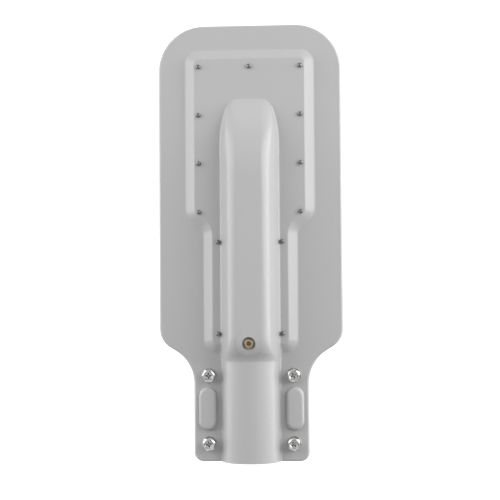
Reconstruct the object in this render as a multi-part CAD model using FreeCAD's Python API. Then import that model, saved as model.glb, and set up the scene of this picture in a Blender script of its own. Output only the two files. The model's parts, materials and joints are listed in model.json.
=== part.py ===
"""LED street light head with a half-round pole socket, in millimetres.

The origin lies on the axis of the pole socket, in the plane of its mouth.
+Y runs along the head, away from the pole, +Z points to the sky and the
lamps shine down. The underside of the rim plate is the plane Z = 0.
"""
import FreeCAD, Part
import math
import os

V = FreeCAD.Vector
UP = V(0, 0, 1)
ALONG = V(0, 1, 0)

# Shell: wall, rim plate and its turned-down lip
WALL = 2.4
LIP_DEPTH = 6.0
SHELL_LENGTH = 476.0
RIM_HALF_WIDTH = 100.0
NECK_HALF_WIDTH = 62.5
FAR_CORNER_R = 50.0
MOUTH_CORNER_R = 10.0
SHOULDER_FAR_Y = 130.5
SHOULDER_NEAR_Y = 108.0
SHOULDER_CONVEX_R = 24.5
SHOULDER_CONCAVE_R = 41.0
RIM_EDGE = 1.6

# Raised plateau, given by the outline of its foot
PLATEAU_HEIGHT = 8.0
PLATEAU_BAND = 10.0
PLATEAU_HALF_WIDTH = 70.4
PLATEAU_NECK_HALF_WIDTH = 51.3
PLATEAU_FAR_MARGIN = 27.6
PLATEAU_WIDE_LENGTH = 183.9
PLATEAU_STEP_LENGTH = 13.5
PLATEAU_NEAR_Y = 117.0
PLATEAU_CORNER_R = 15.0
PLATEAU_STEP_R = 20.0
PLATEAU_FOOT_R = 4.0
PLATEAU_EDGE_R = 3.0

# Driver tunnel on the plateau
TUNNEL_HALF_WIDTH = 31.3
TUNNEL_HEIGHT = 32.0
TUNNEL_SHOULDER = 8.0
TUNNEL_DRAFT = 0.34
TUNNEL_FLARE = 1.3
NOSE_TOE_MARGIN = 54.6
NOSE_LENGTH = 85.8
NOSE_SIDE_LENGTH = 50.2
NOSE_ARC_R = 131.0
NOSE_TOE_HALF_WIDTH = 14.0
NOSE_TOE_HEIGHT = 1.5
NOSE_TOE_REACH = 0.8
NOSE_RISE_SHARE = 0.65
NOSE_FLARE_SHARE = 0.3
NOSE_OUTER_STEPS = 7
NOSE_INNER_STEPS = 3
OUTER_SINK = 1.8
INNER_SINK = 1.0
INNER_FLARE = 0.4
SLOPE_FAR_Y = 134.0
SLOPE_NEAR_Y = 107.5
SLOPE_PROFILE = ((0.0, 0.0), (0.15, 0.02), (0.3, 0.08), (0.45, 0.2), (0.6, 0.4), (0.76, 0.71), (0.86, 0.88),
                 (0.94, 0.97), (1.0, 1.0))
INNER_SLOPE_PROFILE = ((0.0, 0.0), (0.5, 0.45), (1.0, 1.0))

# Pole socket, a half tube whose axis is the Y axis; its crown is the arc between these angles
SOCKET_BORE_R = 29.0
SOCKET_WALL = 2.5
SOCKET_CROWN_FROM = 80.0
SOCKET_CROWN_TO = 100.0
SOCKET_LOW_SHARE = 0.3
POLE_STOP_Y = 109.0
POLE_STOP_LEDGE = 3.0
BULKHEAD_Y = 137.0
BULKHEAD_THICKNESS = 4.0

# Oval pads pressed up beside the socket
PAD_HALF_WIDTH = 9.5
PAD_LENGTH = 46.6
PAD_X = 47.5
PAD_Y = 57.1
PAD_HEIGHT = 5.6
PAD_EDGE_R = 3.6
PAD_EDGE_STEPS = 3

# Screws that hold the carrier plate, seen as short ends on the plateau
CARRIER_SCREW_X = 55.5
CARRIER_SCREW_MARGIN = 19.0
CARRIER_SCREW_STEP_MARGIN = 5.9
CARRIER_SCREW_ROWS = 4
NECK_SCREW_X = 34.8
NECK_SCREW_FAR_MARGIN = 13.3
NECK_SCREW_NEAR_MARGIN = 21.0
CARRIER_SCREW_R = 2.5
CARRIER_SCREW_PROUD = 3.2
CARRIER_HEAD_R = 4.5
CARRIER_HEAD_HEIGHT = 2.4

# Clamp bolts beside the socket
BOLT_X = 46.1
BOLT_YS = (19.1, 92.9)
BOLT_R = 4.0
BOLT_HEAD_ACROSS = 13.0
BOLT_HEAD_HEIGHT = 5.3
BOLT_TURNS = (12.0, 37.0, 2.0, 27.0)
SLIT_TURNS = (50.0, 130.0, 210.0, 290.0)
NUT_TURNS = (0.0, 40.0, 20.0, 55.0)
BOLT_DISH_R = 4.7
BOLT_DISH_DEPTH = 0.9
BOLT_LENGTH = 30.0
SPRING_WASHER_OUTER_R = 7.0
SPRING_WASHER_HEIGHT = 2.0
SPRING_WASHER_SLIT = 1.1
FLAT_WASHER_OUTER_R = 7.9
FLAT_WASHER_HEIGHT = 1.6
BOLT_NUT_HEIGHT = 6.5

# Straps that clamp the pole from below
STRAP_THICKNESS = 3.0
STRAP_WIDTH = 24.0
STRAP_GAP = 3.0
STRAP_EAR_X = 57.0
STRAP_BEND_R = 4.0

# Brass earth screw in its spot-face
EARTH_Y = 128.2
EARTH_RING_R = 13.8
EARTH_RING_HEIGHT = 1.0
EARTH_SPOT_R = 7.1
EARTH_SPOT_Z = 38.2
EARTH_BOSS_R = 7.5
EARTH_BOSS_Z = 30.0
EARTH_SCREW_R = 2.5
EARTH_HEAD_R = 4.8
EARTH_HEAD_HEIGHT = 4.0
EARTH_HEX_ACROSS = 4.0
EARTH_HEX_DEPTH = 2.4
EARTH_HEX_TURN = 15.0
EARTH_HEAD_EDGE = 0.5
EARTH_SCREW_LENGTH = 14.6
EARTH_WASHER_R = 5.0
EARTH_WASHER_HEIGHT = 1.0
EARTH_NUT_ACROSS = 8.0
EARTH_NUT_HEIGHT = 4.0

# Sides of the small round pieces and holes that repeat, few so that the model stays light
SMALL_SIDES = 12
BOLT_SIDES = 24

# Clearances
THREAD_CLEARANCE = 0.05
HOLE_CLEARANCE = 0.3
SEAT_CLEARANCE = 0.8
LEAD_CLEARANCE = 0.3

# Carrier plate and its gasket under the plateau
GASKET_THICKNESS = 1.0
GASKET_EDGE = 0.4
GASKET_WIDTH = 10.4
GASKET_WINDOW_R = 3.0
CARRIER_THICKNESS = 3.0

# Lamp stack under the carrier plate
BOARD_HALF_WIDTH = 38.0
BOARD_MARGIN = 15.4
BOARD_STEP_MARGIN = 10.5
BOARD_CORNER_R = 3.0
BOARD_THICKNESS = 1.6
THERMAL_THICKNESS = 0.3
EMITTER_COLUMNS = 4
EMITTER_ROWS = 7
EMITTER_PITCH_X = 19.0
EMITTER_END_MARGIN = 11.0
EMITTER_SIZE = 5.0
EMITTER_HEIGHT = 0.8
LENS_MARGIN = 9.0
LENS_CORNER_R = 8.0
LENS_SHEET = 2.5
LENS_AIR = 0.2
LENS_BUMP_LENGTH = 15.0
LENS_BUMP_WIDTH = 11.0
LENS_BUMP_CORNER = 2.6
LENS_BUMP_DROP = 3.6
LENS_BUMP_TAPER = 2.6
LENS_GASKET_THICKNESS = 1.0
LENS_GASKET_INSET = 0.8
LENS_SCREW_R = 1.5
LENS_SCREW_INSET = 4.2
LENS_SCREW_HEAD_R = 2.8
LENS_SCREW_HEAD_HEIGHT = 1.8
LENS_SCREWS_PER_SIDE = 4
LENS_SCREW_SHORT = 0.5

# Driver and the other parts on top of the carrier plate
DRIVER_HALF_WIDTH = 20.5
DRIVER_HEIGHT = 26.0
DRIVER_GAP = 4.5
DRIVER_NOSE_MARGIN = 1.6
DRIVER_EDGE_R = 4.0
DRIVER_TAB_LENGTH = 11.0
DRIVER_TAB_HALF_WIDTH = 15.0
DRIVER_TAB_THICKNESS = 1.5
DRIVER_INLET_RISE = 7.0
DRIVER_OUTLET_RISE = 11.0
DRIVER_SCREW_R = 2.0
DRIVER_HEAD_R = 3.8
SURGE_HALF_WIDTH = 15.5
SURGE_LENGTH = 15.0
SURGE_HEIGHT = 18.0
SURGE_GAP = 7.1
SURGE_TAB_LENGTH = 6.5
SURGE_EDGE = 1.5
TERMINAL_HALF_WIDTH = 23.5
TERMINAL_LENGTH = 16.0
TERMINAL_HEIGHT = 15.0
TERMINAL_GAP = 6.0
TERMINAL_PITCH = 17.5
TERMINAL_WELL_R = 2.4
TERMINAL_WELL_DEPTH = 5.0
TERMINAL_SCREW_R = 2.1
TERMINAL_SCREW_LENGTH = 4.0
TERMINAL_SLOT_WIDTH = 0.8
TERMINAL_SLOT_DEPTH = 1.0
TERMINAL_LOW_WAY = 2.6
TERMINAL_HIGH_WAY = 7.0
TERMINAL_WAY_DEPTH = 5.0
SMALL_SCREW_R = 1.5
SMALL_HEAD_R = 2.8
SMALL_HEAD_HEIGHT = 1.8
LUG_GAP = 2.1
LUG_RING_R = 4.4
LUG_THICKNESS = 1.0
LUG_BARREL_LENGTH = 6.0
LUG_BARREL_WALL = 0.7
LUG_NECK_GAP = 0.5
LUG_LEAD_GAP = 1.0
LUG_SCREW_R = 2.0
LUG_SCREW_HEAD_R = 3.6

# Leads and the grommet where two of them pass the plate
LEAD_R = 1.1
LEAD_BEND_SHARE = 0.3
GROMMET_GAP = 22.0
GROMMET_R = 5.5
GROMMET_FLANGE_R = 7.0
GROMMET_FLANGE_HEIGHT = 2.0
GROMMET_LEAD_X = 2.6

# Cable gland through the bulkhead
GLAND_X = 11.5
GLAND_Z = 17.6
GLAND_THREAD_R = 8.0
GLAND_HEX_ACROSS = 19.0
GLAND_HEX_LENGTH = 5.0
GLAND_COLLAR_R = 8.0
GLAND_COLLAR_LENGTH = 6.0
GLAND_CAP_LENGTH = 9.0
GLAND_CAP_NOSE = 4.0
GLAND_CAP_TAPER = 1.6
GLAND_BORE_R = 5.4
GLAND_SEAL_WALL = 2.4
GLAND_CAP_NOSE_R = 8.6
GLAND_SEAL_BORE_R = 4.5
GLAND_SEAL_LENGTH = 9.0
GLAND_TAIL = 6.0
GLAND_NUT_THICKNESS = 4.5

PLATE_TOP = WALL
PLATEAU_TOP = PLATE_TOP + PLATEAU_HEIGHT
TUNNEL_TOP = PLATEAU_TOP + TUNNEL_HEIGHT
RECESS_Z = PLATEAU_TOP - WALL
CARRIER_TOP = RECESS_Z - GASKET_THICKNESS
CARRIER_BOTTOM = CARRIER_TOP - CARRIER_THICKNESS
BOARD_TOP = CARRIER_BOTTOM - THERMAL_THICKNESS
BOARD_BOTTOM = BOARD_TOP - BOARD_THICKNESS
EMITTER_BOTTOM = BOARD_BOTTOM - EMITTER_HEIGHT
LENS_TOP = CARRIER_BOTTOM - LENS_GASKET_THICKNESS
LENS_CAVITY_Z = EMITTER_BOTTOM - LENS_AIR
LENS_BOTTOM = LENS_CAVITY_Z - LENS_SHEET
SOCKET_OUTER_R = SOCKET_BORE_R + SOCKET_WALL
QUARTER = 0.5523

PLATEAU_FAR_Y = SHELL_LENGTH - PLATEAU_FAR_MARGIN
PLATEAU_STEP_FAR_Y = PLATEAU_FAR_Y - PLATEAU_WIDE_LENGTH
PLATEAU_STEP_NEAR_Y = PLATEAU_STEP_FAR_Y - PLATEAU_STEP_LENGTH
NOSE_TOE_Y = PLATEAU_FAR_Y - NOSE_TOE_MARGIN
NOSE_START_Y = NOSE_TOE_Y - NOSE_LENGTH
NOSE_SIDE_Y = NOSE_TOE_Y - NOSE_SIDE_LENGTH
CARRIER_SCREW_FAR_Y = PLATEAU_FAR_Y - CARRIER_SCREW_MARGIN
CARRIER_SCREW_NEAR_Y = PLATEAU_STEP_FAR_Y + CARRIER_SCREW_STEP_MARGIN
CARRIER_SCREW_PITCH = (CARRIER_SCREW_FAR_Y - CARRIER_SCREW_NEAR_Y) / (CARRIER_SCREW_ROWS - 1)
NECK_SCREW_YS = (PLATEAU_STEP_NEAR_Y - NECK_SCREW_FAR_MARGIN, PLATEAU_NEAR_Y + NECK_SCREW_NEAR_MARGIN)
BOARD_FAR_Y = CARRIER_SCREW_FAR_Y - BOARD_MARGIN
BOARD_NEAR_Y = PLATEAU_STEP_FAR_Y + BOARD_STEP_MARGIN
EMITTER_PITCH_Y = (BOARD_FAR_Y - BOARD_NEAR_Y - 2 * EMITTER_END_MARGIN) / (EMITTER_ROWS - 1)
TERMINAL_NEAR_Y = BULKHEAD_Y + BULKHEAD_THICKNESS + GLAND_TAIL + TERMINAL_GAP
TERMINAL_Y = TERMINAL_NEAR_Y + TERMINAL_LENGTH / 2
TERMINAL_FAR_Y = TERMINAL_NEAR_Y + TERMINAL_LENGTH
LUG_Y = TERMINAL_FAR_Y + LUG_GAP + LUG_BARREL_LENGTH + LUG_NECK_GAP + LUG_RING_R
SURGE_NEAR_Y = LUG_Y + LUG_RING_R + SURGE_GAP
SURGE_Y = SURGE_NEAR_Y + SURGE_LENGTH / 2
DRIVER_NEAR_Y = SURGE_NEAR_Y + SURGE_LENGTH + DRIVER_GAP + DRIVER_TAB_LENGTH
DRIVER_FAR_Y = NOSE_SIDE_Y - DRIVER_NOSE_MARGIN
GROMMET_Y = DRIVER_FAR_Y + GROMMET_GAP


def disc(x, y, z, radius, height):
    """Upright cylinder whose lower face is centred at x, y, z."""
    return Part.makeCylinder(radius, height, V(x, y, z), UP)


def post(x, y, z, radius, height, sides=SMALL_SIDES, turn=0.0):
    """Upright many-sided rod whose corners lie on the radius."""
    corners = []
    for step in range(sides + 1):
        angle = math.radians(turn) + 2 * math.pi * step / sides
        corners.append(V(x + radius * math.cos(angle), y + radius * math.sin(angle), z))
    return Part.Face(Part.makePolygon(corners)).extrude(UP * height)


def washer(x, y, z, radius, bore, height):
    """Flat ring whose lower face is centred at x, y, z."""
    return post(x, y, z, radius, height, BOLT_SIDES).cut(post(x, y, z, bore, height, BOLT_SIDES))


def rod_y(x, y, z, radius, length):
    """Cylinder that runs along +Y from x, y, z."""
    return Part.makeCylinder(radius, length, V(x, y, z), ALONG)


def block(x0, x1, y0, y1, z0, z1):
    """Box between two corners."""
    return Part.makeBox(x1 - x0, y1 - y0, z1 - z0, V(x0, y0, z0))


def hexagon(x, y, z, across, height, turn=0.0):
    """Upright hexagonal prism with the given width across its flats."""
    return post(x, y, z, across / math.sqrt(3.0), height, 6, turn)


def laid_along_y(upright, x, y, z):
    """An upright solid at the origin, laid down so that it runs along +Y from x, y, z."""
    upright.rotate(V(0, 0, 0), V(1, 0, 0), -90)
    upright.translate(V(x, y, z))
    return upright


def hexagon_y(x, y, z, across, length):
    """Hexagonal prism that runs along +Y from x, y, z."""
    return laid_along_y(hexagon(0, 0, 0, across, length), x, y, z)


def post_y(x, y, z, radius, length):
    """Many-sided rod that runs along +Y from x, y, z."""
    return laid_along_y(post(0, 0, 0, radius, length), x, y, z)


def rounded_wire(corners, z):
    """Closed wire through (x, y, radius) corners, each rounded by its radius."""
    count = len(corners)
    starts = []
    ends = []
    middles = []
    for index, (x, y, radius) in enumerate(corners):
        here = V(x, y, z)
        before = V(corners[index - 1][0], corners[index - 1][1], z) - here
        after = V(corners[(index + 1) % count][0], corners[(index + 1) % count][1], z) - here
        before.normalize()
        after.normalize()
        half = before.getAngle(after) / 2
        reach = radius / math.tan(half)
        inward = (before + after).normalize()
        starts.append(here + before * reach)
        ends.append(here + after * reach)
        middles.append(here + inward * (radius / math.sin(half) - radius))
    edges = []
    for index in range(count):
        edges.append(Part.Arc(starts[index], middles[index], ends[index]).toShape())
        edges.append(Part.LineSegment(ends[index], starts[(index + 1) % count]).toShape())
    return Part.Wire(edges)


def prism(wire, height):
    """Solid of a flat closed wire, raised by height."""
    return Part.Face(wire).extrude(UP * height)


def inset_corners(corners, inset):
    """The same corners on an outline that lies inset inside, arcs kept parallel."""
    count = len(corners)
    result = []
    for index, (x, y, radius) in enumerate(corners):
        here = V(x, y, 0)
        before = here - V(corners[index - 1][0], corners[index - 1][1], 0)
        after = V(corners[(index + 1) % count][0], corners[(index + 1) % count][1], 0) - here
        before.normalize()
        after.normalize()
        left_before = V(-before.y, before.x, 0)
        left_after = V(-after.y, after.x, 0)
        turn = before.cross(after).z
        bisector = (left_before + left_after) * (1.0 / (1.0 + left_before.dot(left_after)))
        moved = here + bisector * inset
        parallel = radius - inset if turn > 0 else radius + inset
        result.append((moved.x, moved.y, max(parallel, 0.5)))
    return result


def mirrored(right_side):
    """Corners of a symmetric outline, from those of its right side, near end first."""
    left_side = [(-x, y, radius) for x, y, radius in reversed(right_side)]
    return right_side + left_side


def rim_corners():
    """Outline of the rim plate."""
    return mirrored([
        (NECK_HALF_WIDTH, 0.0, MOUTH_CORNER_R),
        (NECK_HALF_WIDTH, SHOULDER_NEAR_Y, SHOULDER_CONCAVE_R),
        (RIM_HALF_WIDTH, SHOULDER_FAR_Y, SHOULDER_CONVEX_R),
        (RIM_HALF_WIDTH, SHELL_LENGTH, FAR_CORNER_R),
    ])


def plateau_corners(inset):
    """Outline of the plateau, inset from its foot."""
    foot = mirrored([
        (PLATEAU_NECK_HALF_WIDTH, PLATEAU_NEAR_Y, PLATEAU_CORNER_R),
        (PLATEAU_NECK_HALF_WIDTH, PLATEAU_STEP_NEAR_Y, PLATEAU_STEP_R / 2),
        (PLATEAU_HALF_WIDTH, PLATEAU_STEP_FAR_Y, PLATEAU_STEP_R),
        (PLATEAU_HALF_WIDTH, PLATEAU_FAR_Y, PLATEAU_CORNER_R),
    ])
    return inset_corners(foot, inset)


def recess_inset(z):
    """How far the recess under the plateau lies inside the plateau's foot, at height z."""
    slope = math.atan2(PLATEAU_HEIGHT, PLATEAU_BAND)
    at_plate_top = WALL / math.sin(slope)
    return at_plate_top + (z - PLATE_TOP) / math.tan(slope)


def edges_at(shape, z, keep):
    """Edges that lie wholly at height z and whose middle passes the test keep."""
    found = []
    for edge in shape.Edges:
        box = edge.BoundBox
        if abs(box.ZMin - z) < 0.01 and abs(box.ZMax - z) < 0.01:
            if keep(edge.valueAt((edge.FirstParameter + edge.LastParameter) / 2)):
                found.append(edge)
    return found


def carrier_screw_places():
    """Places of the screws that hold the carrier plate."""
    places = [(0.0, CARRIER_SCREW_FAR_Y)]
    for side in (-1, 1):
        for row in range(CARRIER_SCREW_ROWS):
            places.append((side * CARRIER_SCREW_X, CARRIER_SCREW_FAR_Y - row * CARRIER_SCREW_PITCH))
        for y in NECK_SCREW_YS:
            places.append((side * NECK_SCREW_X, y))
    return places


def bolt_places():
    """Places of the clamp bolts."""
    return [(side * BOLT_X, y) for y in BOLT_YS for side in (-1, 1)]


def turn_corner(start, end, corner):
    """Control points of a quarter of an ellipse from start to end round corner."""
    first = (start[0] + (corner[0] - start[0]) * QUARTER, start[1] + (corner[1] - start[1]) * QUARTER)
    second = (end[0] + (corner[0] - end[0]) * QUARTER, end[1] + (corner[1] - end[1]) * QUARTER)
    return [start, first, second, end]


def go_straight(start, end):
    """Control points of a straight stretch."""
    points = []
    for part in range(4):
        share = part / 3.0
        points.append((start[0] + (end[0] - start[0]) * share, start[1] + (end[1] - start[1]) * share))
    return points


def go_round(radius, angle0, angle1):
    """Control points of an arc about the pole's axis, angles in degrees."""
    a0 = math.radians(angle0)
    a1 = math.radians(angle1)
    pull = 4.0 / 3.0 * math.tan((a1 - a0) / 4.0) * radius
    start = (radius * math.cos(a0), radius * math.sin(a0))
    end = (radius * math.cos(a1), radius * math.sin(a1))
    first = (start[0] - pull * math.sin(a0), start[1] + pull * math.cos(a0))
    second = (end[0] + pull * math.sin(a1), end[1] - pull * math.cos(a1))
    return [start, first, second, end]


def tunnel_section(half_width, top, flat_half, rise, base, flare):
    """Right half of the tunnel's section: flare, wall, shoulder and half the flat top."""
    def wall_x(z):
        return half_width - TUNNEL_DRAFT * (z - PLATEAU_TOP)
    flare_end = (wall_x(base + flare), base + flare)
    shoulder_start = (wall_x(top - rise), top - rise)
    shoulder_end = (flat_half, top)
    return [
        go_straight((wall_x(base) + flare, base), flare_end),
        go_straight(flare_end, shoulder_start),
        turn_corner(shoulder_start, shoulder_end, (wall_x(top), top)),
        go_straight(shoulder_end, (-flat_half, top)),
    ]


def tube_section(radius, base, flare):
    """Right half of the half tube's section, in the same four stretches."""
    flare_top = base + flare
    flare_end = (math.sqrt(radius ** 2 - flare_top ** 2), flare_top)
    first_angle = math.degrees(math.asin(flare_top / radius))
    corner = (flare_end[0] + flare_top * flare / flare_end[0], base)
    second_angle = first_angle + SOCKET_LOW_SHARE * (SOCKET_CROWN_FROM - first_angle)
    return [
        go_straight((corner[0] + flare, base), flare_end),
        go_round(radius, first_angle, second_angle),
        go_round(radius, second_angle, SOCKET_CROWN_FROM),
        go_round(radius, SOCKET_CROWN_FROM, SOCKET_CROWN_TO),
    ]


def blend_sections(first, second, share):
    """Section that lies a share of the way from the first to the second."""
    result = []
    for one, other in zip(first, second):
        result.append([(a[0] + (b[0] - a[0]) * share, a[1] + (b[1] - a[1]) * share)
                       for a, b in zip(one, other)])
    return result


def section_wire(section, y, floor_z):
    """Closed wire of a right half section and its mirror image, down to floor_z."""
    stretches = list(section)
    for stretch in reversed(section[:3]):
        stretches.append([(-x, z) for x, z in reversed(stretch)])
    edges = []
    for stretch in stretches:
        curve = Part.BezierCurve()
        curve.setPoles([V(x, y, z) for x, z in stretch])
        edges.append(curve.toShape())
    start = V(section[0][0][0], y, section[0][0][1])
    end = V(-start.x, y, start.z)
    low_start = V(start.x, y, floor_z)
    low_end = V(end.x, y, floor_z)
    edges.append(Part.LineSegment(end, low_end).toShape())
    edges.append(Part.LineSegment(low_end, low_start).toShape())
    edges.append(Part.LineSegment(low_start, start).toShape())
    return Part.Wire(edges)


def straight_run(section, y0, y1, floor_z):
    """Solid of one section carried along Y."""
    return Part.makeLoft([section_wire(section, y, floor_z) for y in (y0, y1)], True, True)


def nose_width(y, inset):
    """Half width of the nose at y: straight sides that close in as quarter ellipses."""
    toe = NOSE_TOE_HALF_WIDTH - inset
    full = TUNNEL_HALF_WIDTH - inset
    reach = NOSE_TOE_Y - inset - NOSE_SIDE_Y
    along = min(max(y - NOSE_SIDE_Y, 0.0) / reach, 1.0)
    return toe + (full - toe) * math.sqrt(1.0 - along ** 2)


def nose_top(y, inset):
    """Height of the nose at y, an arc tangent to the tunnel's flat top."""
    radius = NOSE_ARC_R - inset
    return TUNNEL_TOP - NOSE_ARC_R + math.sqrt(radius ** 2 - (y - NOSE_START_Y) ** 2)


def flat_half_width(y, inset):
    """Half width of the flat stretch on top, which narrows towards the toe."""
    straight = TUNNEL_HALF_WIDTH - TUNNEL_DRAFT * TUNNEL_HEIGHT - TUNNEL_SHOULDER
    along = max(y - NOSE_START_Y, 0.0) / (NOSE_TOE_Y - NOSE_START_Y)
    toe = NOSE_TOE_HALF_WIDTH - NOSE_TOE_HEIGHT
    return straight + (min(toe, nose_width(y, inset) - NOSE_TOE_HEIGHT) - straight) * along ** 2


def nose_section(y, inset, base, flare):
    """Section of the tunnel at y, from its full height down to the toe."""
    top = nose_top(y, inset)
    height = max(top - base, NOSE_TOE_HEIGHT)
    sunk_base = top - height
    small_flare = min(flare, NOSE_FLARE_SHARE * height)
    rise = min(TUNNEL_SHOULDER - inset, NOSE_RISE_SHARE * height)
    return tunnel_section(nose_width(y, inset), top, flat_half_width(y, inset), rise,
                          sunk_base, small_flare)


def nose_form(inset, base, flare, sink, toe_y, steps, ruled):
    """Nose of the tunnel from its full section to the toe."""
    wires = []
    for step in range(steps + 1):
        along = math.sin(step / steps * math.pi / 2)
        y = NOSE_START_Y + (toe_y - NOSE_START_Y) * along
        section = nose_section(y, inset, base, flare)
        wires.append(section_wire(section, y, min(section[0][0][1], base) - sink))
    return Part.makeLoft(wires, True, ruled, False, 3)


def slope_form(profile, inset, tube_radius, base_at, flare, sink):
    """Stretch where the tunnel comes down to the half tube."""
    wires = []
    for along, share in profile:
        y = SLOPE_FAR_Y + (SLOPE_NEAR_Y - SLOPE_FAR_Y) * along
        base = base_at(y)
        full = full_section(inset, base, flare)
        section = blend_sections(full, tube_section(tube_radius, base, flare), share)
        wires.append(section_wire(section, y, base - sink))
    return Part.makeLoft(wires, True, True)


def full_section(inset, base, flare):
    """Section of the tunnel at its full height."""
    flat = TUNNEL_HALF_WIDTH - TUNNEL_DRAFT * TUNNEL_HEIGHT - TUNNEL_SHOULDER
    return tunnel_section(TUNNEL_HALF_WIDTH - inset, TUNNEL_TOP - inset, flat,
                          TUNNEL_SHOULDER - inset, base, flare)


def outer_base(y):
    """Height of the surface that the tunnel stands on, plateau or rim plate."""
    share = min(max((y - PLATEAU_NEAR_Y) / PLATEAU_BAND, 0.0), 1.0)
    return PLATE_TOP + PLATEAU_HEIGHT * share


def pad_wire(inset, z):
    """Outline of one oval pad at the origin."""
    radius = PAD_HALF_WIDTH - inset
    half = PAD_LENGTH / 2 - inset - radius
    right = Part.Arc(V(radius, half, z), V(0, half + radius, z), V(-radius, half, z)).toShape()
    left = Part.Arc(V(-radius, -half, z), V(0, -half - radius, z), V(radius, -half, z)).toShape()
    sides = [Part.LineSegment(V(-radius, half, z), V(-radius, -half, z)).toShape(),
             Part.LineSegment(V(radius, -half, z), V(radius, half, z)).toShape()]
    return Part.Wire([right, sides[0], left, sides[1]])


def pad_form():
    """One oval pad at the origin, its upper edge rounded in a few steps."""
    top = PLATE_TOP + PAD_HEIGHT
    rings = [pad_wire(0.0, PLATE_TOP)]
    for step in range(PAD_EDGE_STEPS + 1):
        angle = math.pi / 2 * step / PAD_EDGE_STEPS
        rings.append(pad_wire(PAD_EDGE_R * (1 - math.cos(angle)), top - PAD_EDGE_R * (1 - math.sin(angle))))
    return Part.makeLoft(rings, True, True)


def plate_form():
    """Rim plate, plateau and pads as one solid form with soft edges, without the tunnel."""
    plate = prism(rounded_wire(rim_corners(), -LIP_DEPTH), LIP_DEPTH + PLATE_TOP)
    plateau = Part.makeLoft([
        rounded_wire(plateau_corners(0.0), PLATE_TOP),
        rounded_wire(plateau_corners(PLATEAU_BAND), PLATEAU_TOP),
    ], True, True)
    pad = pad_form()
    pads = []
    for side in (-1, 1):
        copy = pad.copy()
        copy.translate(V(side * PAD_X, PAD_Y, 0))
        pads.append(copy)
    form = plate.fuse(plateau).removeSplitter()
    form = form.makeFillet(PLATEAU_EDGE_R, edges_at(form, PLATEAU_TOP, lambda point: True))

    def on_foot(point):
        return abs(point.x) < PLATEAU_HALF_WIDTH + 1 and PLATEAU_NEAR_Y - 1 < point.y < PLATEAU_FAR_Y + 1

    def on_pad(point):
        return abs(abs(point.x) - PAD_X) < PAD_HALF_WIDTH + 1 and abs(point.y - PAD_Y) < PAD_LENGTH / 2 + 1

    def on_rim(point):
        return not on_foot(point) and not on_pad(point)
    form = form.makeFillet(PLATEAU_FOOT_R, edges_at(form, PLATE_TOP, on_foot))
    form = form.makeChamfer(RIM_EDGE, edges_at(form, PLATE_TOP, on_rim))
    return form.fuse(pads).removeSplitter()


def tunnel_form():
    """Half tube, slope, tunnel and nose as solid forms that meet end to end."""
    tube = straight_run(tube_section(SOCKET_OUTER_R, PLATE_TOP, TUNNEL_FLARE), 0.0, SLOPE_NEAR_Y,
                        PLATE_TOP - OUTER_SINK)
    slope = slope_form(SLOPE_PROFILE, 0.0, SOCKET_OUTER_R, outer_base, TUNNEL_FLARE, OUTER_SINK)
    middle = straight_run(full_section(0.0, PLATEAU_TOP, TUNNEL_FLARE), SLOPE_FAR_Y, NOSE_START_Y,
                          PLATEAU_TOP - OUTER_SINK)
    nose = nose_form(0.0, PLATEAU_TOP, TUNNEL_FLARE, OUTER_SINK, NOSE_TOE_Y + NOSE_TOE_REACH,
                     NOSE_OUTER_STEPS, False)
    return [tube, slope, middle, nose]


def shell_voids():
    """Everything that is hollow under the shell, from below."""
    voids = [prism(rounded_wire(inset_corners(rim_corners(), WALL), -LIP_DEPTH), LIP_DEPTH)]
    voids.append(Part.makeLoft([
        rounded_wire(plateau_corners(recess_inset(0.0)), 0.0),
        rounded_wire(plateau_corners(recess_inset(RECESS_Z)), RECESS_Z),
    ], True, True))
    for side in (-1, 1):
        pocket = prism(pad_wire(WALL, 0.0), PAD_HEIGHT)
        pocket.translate(V(side * PAD_X, PAD_Y, 0))
        voids.append(pocket)
    voids.append(rod_y(0, -1, 0, SOCKET_BORE_R, POLE_STOP_Y + 1))
    inner_full = full_section(WALL, RECESS_Z, INNER_FLARE)
    bay_start = BULKHEAD_Y + BULKHEAD_THICKNESS
    voids.append(straight_run(inner_full, bay_start, NOSE_START_Y, RECESS_Z - INNER_SINK))
    voids.append(nose_form(WALL, RECESS_Z, INNER_FLARE, INNER_SINK, NOSE_TOE_Y - 2 * WALL,
                           NOSE_INNER_STEPS, True))
    voids.append(slope_form(INNER_SLOPE_PROFILE, WALL, SOCKET_BORE_R - POLE_STOP_LEDGE, lambda y: 0.0,
                            INNER_FLARE, INNER_SINK))
    wiring_full = full_section(WALL, 0.0, INNER_FLARE)
    voids.append(straight_run(wiring_full, SLOPE_FAR_Y, BULKHEAD_Y, -INNER_SINK))
    return voids


def earth_ring(tunnel_pieces):
    """Low round boss that follows the tunnel's skin about the earth screw."""
    skin = tunnel_pieces[1].fuse(tunnel_pieces[2])
    skin.translate(UP * EARTH_RING_HEIGHT)
    return skin.common(disc(0, EARTH_Y, EARTH_BOSS_Z, EARTH_RING_R, TUNNEL_TOP))


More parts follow.
